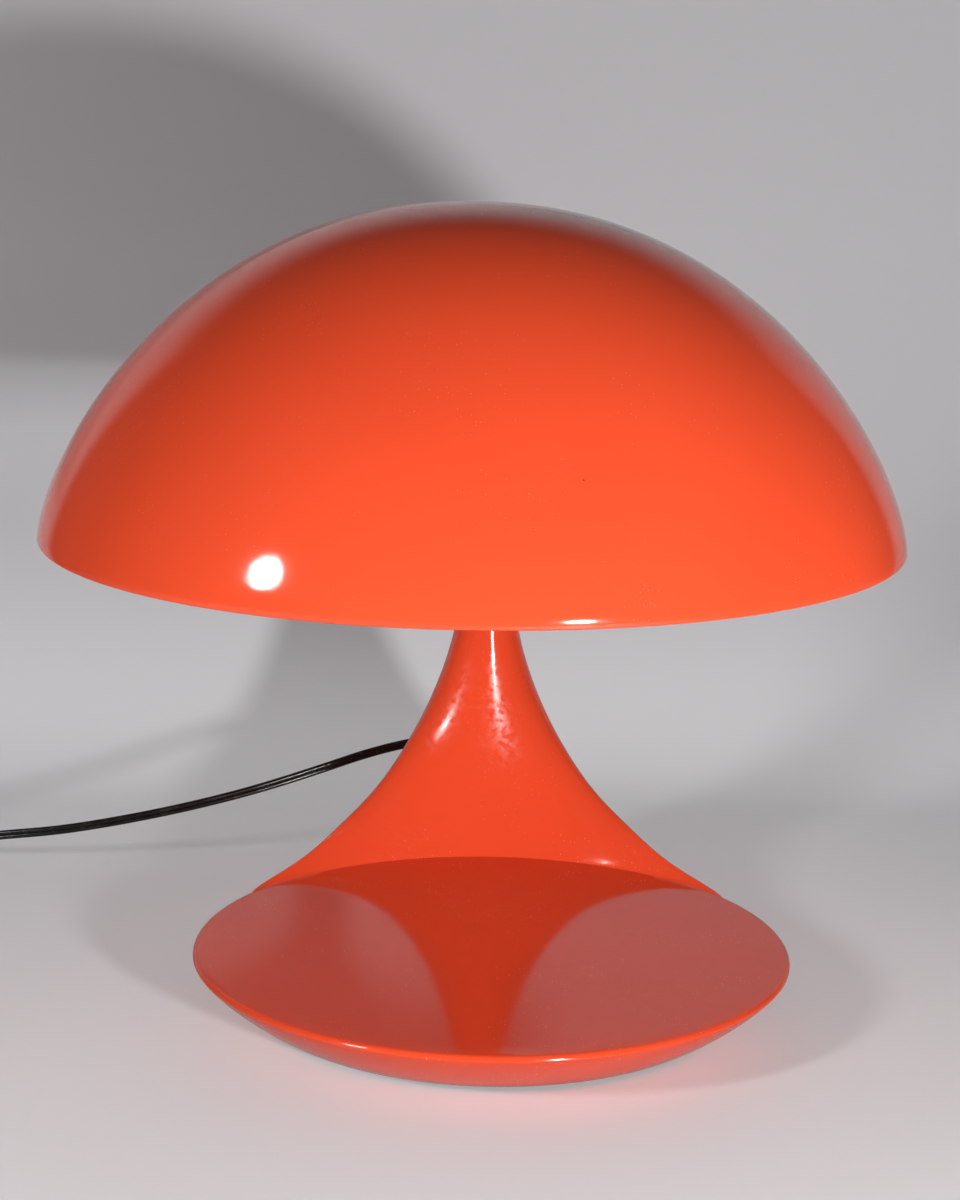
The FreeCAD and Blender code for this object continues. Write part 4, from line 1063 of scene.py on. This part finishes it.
@dataclass
class Shell:
    """What the two lacquered shells share: a neck whose sections are cubic curves, in millimetres."""

    axis: float
    neck: float = 13.8
    bore: float = 8.0
    bore_depth: float = 3.0
    end_round: float = 0.6
    blunt: float = 2.5
    least: float = 1.2
    columns: int = 56

    def halves(self, z: float) -> Halves:
        """Return the front and the back curve of the right half of the section at a height."""
        raise NotImplementedError

    def shares(self) -> list[float]:
        """Return the spread of points along a curve, closer together near the tip."""
        return [math.sin(math.pi / 2 * k / self.columns) for k in range(self.columns + 1)]

    def section(self, z: float) -> Halves:
        """Return the right half of the section: front points to the tip, back points from it."""
        front, back = self.halves(z)
        return [bezier(front, s) for s in self.shares()], [bezier(back, 1 - s) for s in reversed(self.shares())]

    @staticmethod
    def loop(ahead: Sequence[Point], behind: Sequence[Point], z: float) -> list[Point]:
        """Return a whole closed loop from its right half, starting and ending at the front's middle."""
        right = [*ahead, *behind[1:]]
        return [(x, y, z) for x, y in (*right, *[(-x, y) for x, y in reversed(right[:-1])])]

    def collar(self, loop: Sequence[Point], end: float, inward: float, aim: float) -> list[list[Point]]:
        """Turn the neck's end in to its bore.

        Args:
            loop: the neck's last loop.
            end: the height of the end.
            inward: 1 where the neck goes up from its end, -1 where it goes down.
            aim: the radius that the end's rim is drawn a little towards.

        Returns:
            The loops to put before that one, from inside the bore.
        """
        turns = [math.atan2(x, self.axis - y) for x, y, _ in loop]

        def ring(radius: float) -> list[Point]:
            """Return a circle round the neck's axis, in step with the loop."""
            return [(radius * math.sin(turn), self.axis - radius * math.cos(turn)) for turn in turns]
        rim = [mix(p[:2], q, 0.05) for p, q in zip(loop, ring(aim))]
        return [[(x, y, z) for x, y in line] for line, z in (
            (ring(self.bore), end + inward * self.bore_depth), (ring(self.bore), end), (rim, end))]

    @staticmethod
    def wrap(form: Form, angles: Sequence[float], radii: Sequence[Sequence[float]],
             heights: Sequence[float]) -> None:
        """Add a skin by its radii round the frame's Z axis.

        Args:
            form: the mesh in the making.
            angles: its angles from +Y.
            radii: for each height, its radius at each angle.
            heights: its heights.
        """
        form.skin([[(r * math.sin(a), r * math.cos(a), z) for a, r in zip(angles, row)]
                   for row, z in zip(radii, heights)])


@dataclass
class Foot(Shell):
    """The plate, the shallow bowl under it and the hollow stem behind, as one lacquered shell.

    Each size of the stem changes with a power of s, which goes from 0 at the waist to 1 at the plate.
    """

    axis: float = 192.0
    plate: float = 150.0
    top: float = 30.0
    roll: float = 2.5
    bowl_foot: float = 118.0
    gap: float = 2.5
    wall: float = 3.2
    crease: float = 145.5
    crease_zone: float = 45.0
    front_sweep: float = 27.8
    front_toe: float = 4.9
    flare: float = 75.0
    flare_toe: float = 25.0
    tip_forward: float = 79.0
    spread: float = 18.3
    swell: tuple[float, float, float] = (2.5, 17.0, 12.0)
    lean: float = math.radians(50)
    tuck: tuple[float, float] = (8.0, 70.0)
    waist: float = 195.0
    hip: float = 108.0
    hip_back: float = 215.0
    foot_back: float = 114.0
    rows: int = 84
    plate_rows: int = 24

    @property
    def rolled(self) -> float:
        """Return the height where the plate's rolled edge starts."""
        return self.top - self.roll

    def bowl(self, z: float) -> float:
        """Return the bowl's radius at a height."""
        share = (z - self.gap) / (self.rolled - self.gap)
        return self.bowl_foot + (self.plate - self.bowl_foot) * quarter(share, 1.15)

    def edge(self, z: float) -> float:
        """Return the radius of the plate's rolled edge and the bowl below it."""
        if z <= self.rolled:
            return self.bowl(z)
        return self.plate - self.roll + math.sqrt(max(self.roll**2 - (z - self.rolled) ** 2, 0.0))

    def back(self, z: float) -> float:
        """Return how far back the stem reaches: out from its foot to the hip, and in again to the waist."""
        if z < self.hip:
            share = quarter((z - self.gap) / (self.hip - self.gap), 1.8)
            return self.foot_back + (self.hip_back - self.foot_back) * share
        slim, share = self.axis + self.neck, (z - self.hip) / (self.waist - self.hip)
        return slim + (self.hip_back - slim) * (1 + math.cos(math.pi * share)) / 2

    def halves(self, z: float) -> Halves:
        """Draw the two curves of the stem's section at a height.

        Args:
            z: the height.

        Returns:
            The front curve's four points, from the middle to the tip, and the back curve's, from the tip back.
        """
        s, rise = (self.waist - max(z, self.top)) / (self.waist - self.top), max(z - self.top, 0.0)
        front = self.axis - self.neck - self.front_sweep * s**1.5 - self.front_toe * s**9
        half = self.neck + self.flare * s**2.2 + self.flare_toe * s**9
        widest, lean = self.axis - self.tip_forward * s**4.4, self.lean * s**4
        across, along = half - 3 * math.sin(lean), widest - 10 * math.sin(lean)
        reach = math.hypot(across, along)
        drawn = reach - 3.4 * s**12 - self.roll * math.exp(-rise / 0.6)
        wide = across * drawn / reach
        more, middle, width = self.swell
        wide += self.spread * math.exp(-rise / 5) + more * math.exp(-((rise - middle) / width) ** 2)
        tip = (wide, math.sqrt(drawn**2 - wide**2))
        lean += math.atan2(*tip) - math.atan2(across, along)
        back, fade, blunt = self.back(z), 1 - s * s, self.blunt * s * s
        tip_half = (self.back(max(z, self.top)) - front) / 2 * fade + blunt
        if z < self.top:
            depth = (self.top - z) / (self.top - self.gap)
            radius = self.bowl(min(z, self.rolled)) + (drawn - self.plate)
            radius -= self.tuck[0] * min(1.0, 2 * depth)
            tip = (tip[0] * radius / drawn, tip[1] * radius / drawn)
            front -= self.tuck[1] * depth
        ahead = QUARTER_HANDLE * max(tip_half, self.least)
        behind = max(QUARTER_HANDLE * (back - tip[1]) * fade + blunt, self.least)
        side, out = QUARTER_HANDLE * tip[0], (math.sin(lean), math.cos(lean))
        enter, leave = ((tip[0] + out[0] * way, tip[1] + out[1] * way) for way in (-ahead, behind))
        return [(0.0, front), (side, front), enter, tip], [tip, leave, (side, back), (0.0, back)]

    @property
    def crease_end(self) -> float:
        """Return the angle from +Y where the crease meets the plate's edge."""
        return math.atan2(*self.halves(self.top)[0][3])

    def crease_at(self, angle: float) -> float:
        """Return the crease's radius at an angle from +Y."""
        return self.crease + (self.edge(self.top) - self.crease) * (angle / self.crease_end) ** 3

    def fillet(self, z: float, angle: float) -> float:
        """Return how far the stem's foot is rounded into the bowl at a height and an angle from +Y."""
        fade = (self.crease_end - angle) / 0.3 + max(self.top - z, 0.0) / 7.0
        return 5.0 * min(max(fade, 0.0), 1.0) * min(max(1 - (z - self.top) / 5.0, 0.0), 1.0)

    def wall_share(self, spot: Vector) -> float:
        """Thin the wall where the stem runs out on the plate, at both ends of the crease.

        Args:
            spot: a point of the skin.

        Returns:
            How much of its full wall the shell has there.
        """
        past = math.degrees(fold(math.atan2(spot.x, spot.y)) - self.crease_end)
        thin = 0.06 + 0.94 * min(max(-past / 28.5, past / 8.0, 0.0), 1.0)
        high = min(max((spot.z - 24.0) / 4.0, 0.0), 1.0)
        return 1 - (1 - thin) * high

    def row(self, z: float) -> list[Point]:
        """Draw the stem's loop at a height, drawn out along the crease in its last millimetres.

        Args:
            z: the height.

        Returns:
            The loop's points.
        """
        ahead, behind = self.section(z)
        near = max(1 - (z - self.top) / self.crease_zone, 0.0) ** 2.2
        end, far = math.atan2(*ahead[-1]), math.hypot(*ahead[-1])
        first, last = ahead[0][1] - self.crease, far - self.crease_at(end)
        for k, share in enumerate(self.shares()):
            angle = end * share
            radius = self.crease_at(angle) + first + (last - first) * share**3
            ahead[k] = mix(ahead[k], (radius * math.sin(angle), radius * math.cos(angle)), near)
        swept = [behind[0]]
        for x, y in behind[1:]:
            radius = math.hypot(x, y)
            wide = soft_max(self.edge(self.top), radius, self.fillet(z, math.atan2(x, y))) / radius
            swept.append((x * wide, y * wide))
        return self.loop(ahead, swept, z)

    def build(self) -> None:
        """Shape the stem, plate and bowl, and give them their wall."""
        form = Form()
        loops = [self.row(self.top + (self.waist - self.top) * (1 - k / self.rows) ** 1.7)
                 for k in range(self.rows + 1)]
        crease = [(x, y) for x, y, _ in loops[-1][:self.columns + 1]]
        outer = [(x, y) for x, y, _ in loops[-1][self.columns:2 * self.columns + 1]]
        collar = self.collar(loops[0], self.waist, -1.0, self.bore)
        loops[0] = [(x, y, self.waist - self.end_round) for x, y, _ in loops[0]]
        form.skin([*collar, *loops])
        self._plate(form, crease)
        self._under(form, outer)
        form.weld(0.004, lambda face: -abs(face.calc_center_median().z - self.top) - abs(
            face.calc_center_median().y) / 100)
        form.wall(self.wall, self.wall_share)
        form.finish("foot_shell", "foot", Dress.LACQUER, ["base_shell"], 35.0)

    def _plate(self, form: Form, crease: Sequence[Point]) -> None:
        """Add the flat plate between the crease and the rim.

        Args:
            form: the mesh in the making.
            crease: the right half of the crease, from the middle.
        """
        whole = [*[(-x, y) for x, y in reversed(crease[1:])], *crease]
        count, radius, end = len(whole) - 1, self.edge(self.top), self.crease_end
        turns = [-end - (math.tau - 2 * end) * i / count for i in range(count + 1)]
        edge = [(radius * math.sin(turn), radius * math.cos(turn)) for turn in turns]
        edge[0], edge[-1] = whole[0], whole[-1]
        form.skin([[(*mix(p, q, j / self.plate_rows), self.top) for p, q in zip(whole, edge)]
                   for j in range(self.plate_rows + 1)])

    def _under(self, form: Form, outer: Sequence[Point]) -> None:
        """Add the rolled edge, the bowl and the stem's foot below the plate.

        Args:
            form: the mesh in the making.
            outer: the right half of the stem's back edge at the plate's height, from the tip.
        """
        count, end = 2 * self.columns, self.crease_end
        heights = [self.top - self.roll * (1 - math.cos(math.pi / 2 * k / 6)) for k in range(7)]
        heights += [self.rolled - (self.rolled - self.gap) * (k / 22) for k in range(1, 23)]
        angles = [end + (math.tau - 2 * end) * i / count for i in range(count + 1)]
        behind = [math.atan2(x, y) for x, y in outer]
        angles += [-a for a in behind[1:]] + behind[-2::-1]
        radii = []
        for z in heights:
            tail = self.section(z)[1]
            radii.append([soft_max(self.edge(z), polar(tail, a), self.fillet(z, a)) for a in map(fold, angles)])
        radii[0][:count + 1] = [self.edge(self.top)] * (count + 1)
        back = [math.hypot(x, y) for x, y in outer]
        radii[0][count:] = back + back[-2::-1]
        radii[0][0] = back[0]
        self.wrap(form, angles, radii, heights)


@dataclass
class Head(Shell):
    """The dome, its back and the upper neck as one lacquered shell that turns on the foot.

    It is drawn round the dome's axis, then turned and moved so that its neck stands on the foot's.
    """

    axis: float = 255.0
    radius: float = 200.0
    height: float = 153.0
    wall: float = 3.0
    rim: float = 253.0
    rim_round: float = 0.8
    low: float = 196.0
    front_sweep: float = 44.2
    shoulder: float = 75.0
    handles: tuple[float, float] = (14.0, 10.0)
    leave: tuple[float, float] = (math.radians(45), math.radians(42))
    foot_axis: float = 192.0
    turn: float = math.radians(-3.3)
    merge: float = 97.0
    columns: int = 40
    rows: int = 30
    dome_rows: int = 56

    def dome(self, rise: float) -> float:
        """Return the dome's radius at a rise above its rim."""
        return self.radius * (1 - min(max(rise / self.height, 0.0), 1.0) ** 1.46) ** (1 / 2.15)

    def halves(self, z: float) -> Halves:
        """Draw the two curves of the section of the neck and the back at a height.

        Args:
            z: the height.

        Returns:
            The front curve's four points, from the middle to the tip, and the back curve's, from the tip back.
        """
        climb, above = (z - self.low) / (self.rim + self.merge - self.low), max(z - self.rim, 0.0)
        rise = min(1.0, (z - self.low) / (self.rim - self.low))
        back = self.axis + self.neck
        back -= (back - self.dome(self.merge)) * climb**1.7
        front = self.axis - self.neck - self.front_sweep * rise**1.6 - above
        half = self.neck + (self.shoulder - self.neck) * rise**2.3
        widest = self.axis - (self.axis - math.sqrt(self.radius**2 - self.shoulder**2)) * rise**1.6
        lean = math.atan2(half, widest) * rise**3
        if above:
            lean += math.radians(0.104) * above
            half, widest = self.dome(above) * math.sin(lean), self.dome(above) * math.cos(lean)
        fade = 1 - rise * rise
        ahead = QUARTER_HANDLE * max((back - front) / 2 * fade + self.blunt * rise * rise, self.least)
        behind = QUARTER_HANDLE * (back - widest) * fade
        behind += self.handles[0] * rise**2 + self.handles[1] * above / self.merge
        off = lean - self.leave[0] * rise**4 - self.leave[1] * min(above / 45, 1.0)
        side, crown = QUARTER_HANDLE * half, (QUARTER_HANDLE - 0.19 * above / self.merge) * half
        tip, enter = (half, widest), (half - math.sin(lean) * ahead, widest - math.cos(lean) * ahead)
        leave = (half + math.sin(off) * behind, widest + math.cos(off) * behind)
        return [(0.0, front), (side, front), enter, tip], [tip, leave, (crown, back), (0.0, back)]

    def build(self) -> None:
        """Shape the neck, the back and the dome, and give them their wall."""
        form, start = Form(), self.low + self.end_round
        levels = [start + (self.rim - start) * k / self.rows for k in range(self.rows + 1)]
        loops = [self.loop(*self.section(z), z) for z in levels]
        form.skin([*self.collar(loops[0], self.low, 1.0, 0.0), *loops])
        self._cap(form, loops[-1])
        form.weld(0.004, lambda face: face.calc_center_median().z)
        form.wall(self.wall)
        form.round_edges(lambda edge: all(
            abs(v.co.z - self.rim) < 0.3 and (abs(abs(v.co.x) - self.shoulder) > 6 or v.co.y < 0)
            for v in edge.verts), self.rim_round)
        spot = Matrix.Translation((0, self.foot_axis, 0)) @ Matrix.Rotation(self.turn, 4, "Z") \
            @ Matrix.Translation((0, -self.axis, 0))
        bmesh.ops.transform(form.mesh, matrix=spot, verts=form.mesh.verts[:])
        form.finish("head_skin", "head", Dress.LACQUER, ["head_shell"], 35.0)

    def _cap(self, form: Form, rim_loop: Sequence[Point]) -> None:
        """Add the dome, and its back where it runs into the neck.

        Args:
            form: the mesh in the making.
            rim_loop: the neck's loop at the rim's height.
        """
        count, end = 4 * self.columns, math.asin(self.shoulder / self.radius)
        back = rim_loop[3 * self.columns:self.columns - 1:-1]
        angles = [end + (math.tau - 2 * end) * (i / count - 0.115 * math.sin(math.tau * i / count))
                  for i in range(count + 1)]
        angles += [math.atan2(x, y) for x, y, _ in back[1:]]
        radii, heights = [], []
        for k in range(self.dome_rows + 1):
            rise = self.height * (1 - (1 - k / self.dome_rows) ** 1.9)
            tail = self.section(self.rim + rise)[1] if rise < self.merge + 20 else []
            fillet = max(16.0 - 12.0 * rise / self.merge, 4.0) * min(rise / 14.0, 1.0)
            radii.append([soft_max(self.dome(rise), polar(tail, a) if tail else 0.0, fillet)
                          for a in map(fold, angles)])
            heights.append(self.rim + rise)
        radii[0] = [self.radius] * count + [math.hypot(x, y) for x, y, _ in back]
        self.wrap(form, angles, radii, heights)


def dress_nodes() -> None:
    """Give every carried-over node the finish of its material slot."""
    slots = {item["node"]: item["material_slot"] for item in frame["record"]["subparts"]}
    for name, node in frame["nodes"].items():
        Dress.of(slots[name]).on(node)


def main() -> None:
    """Build the studio and the lamp in order."""
    logging.basicConfig(level=logging.INFO, format="%(name)s: %(message)s")
    Camera().build()
    Cordset().build()
    Studio().build()
    dress_nodes()
    Foot().build()
    Head().build()


if __name__ == "__main__":
    main()
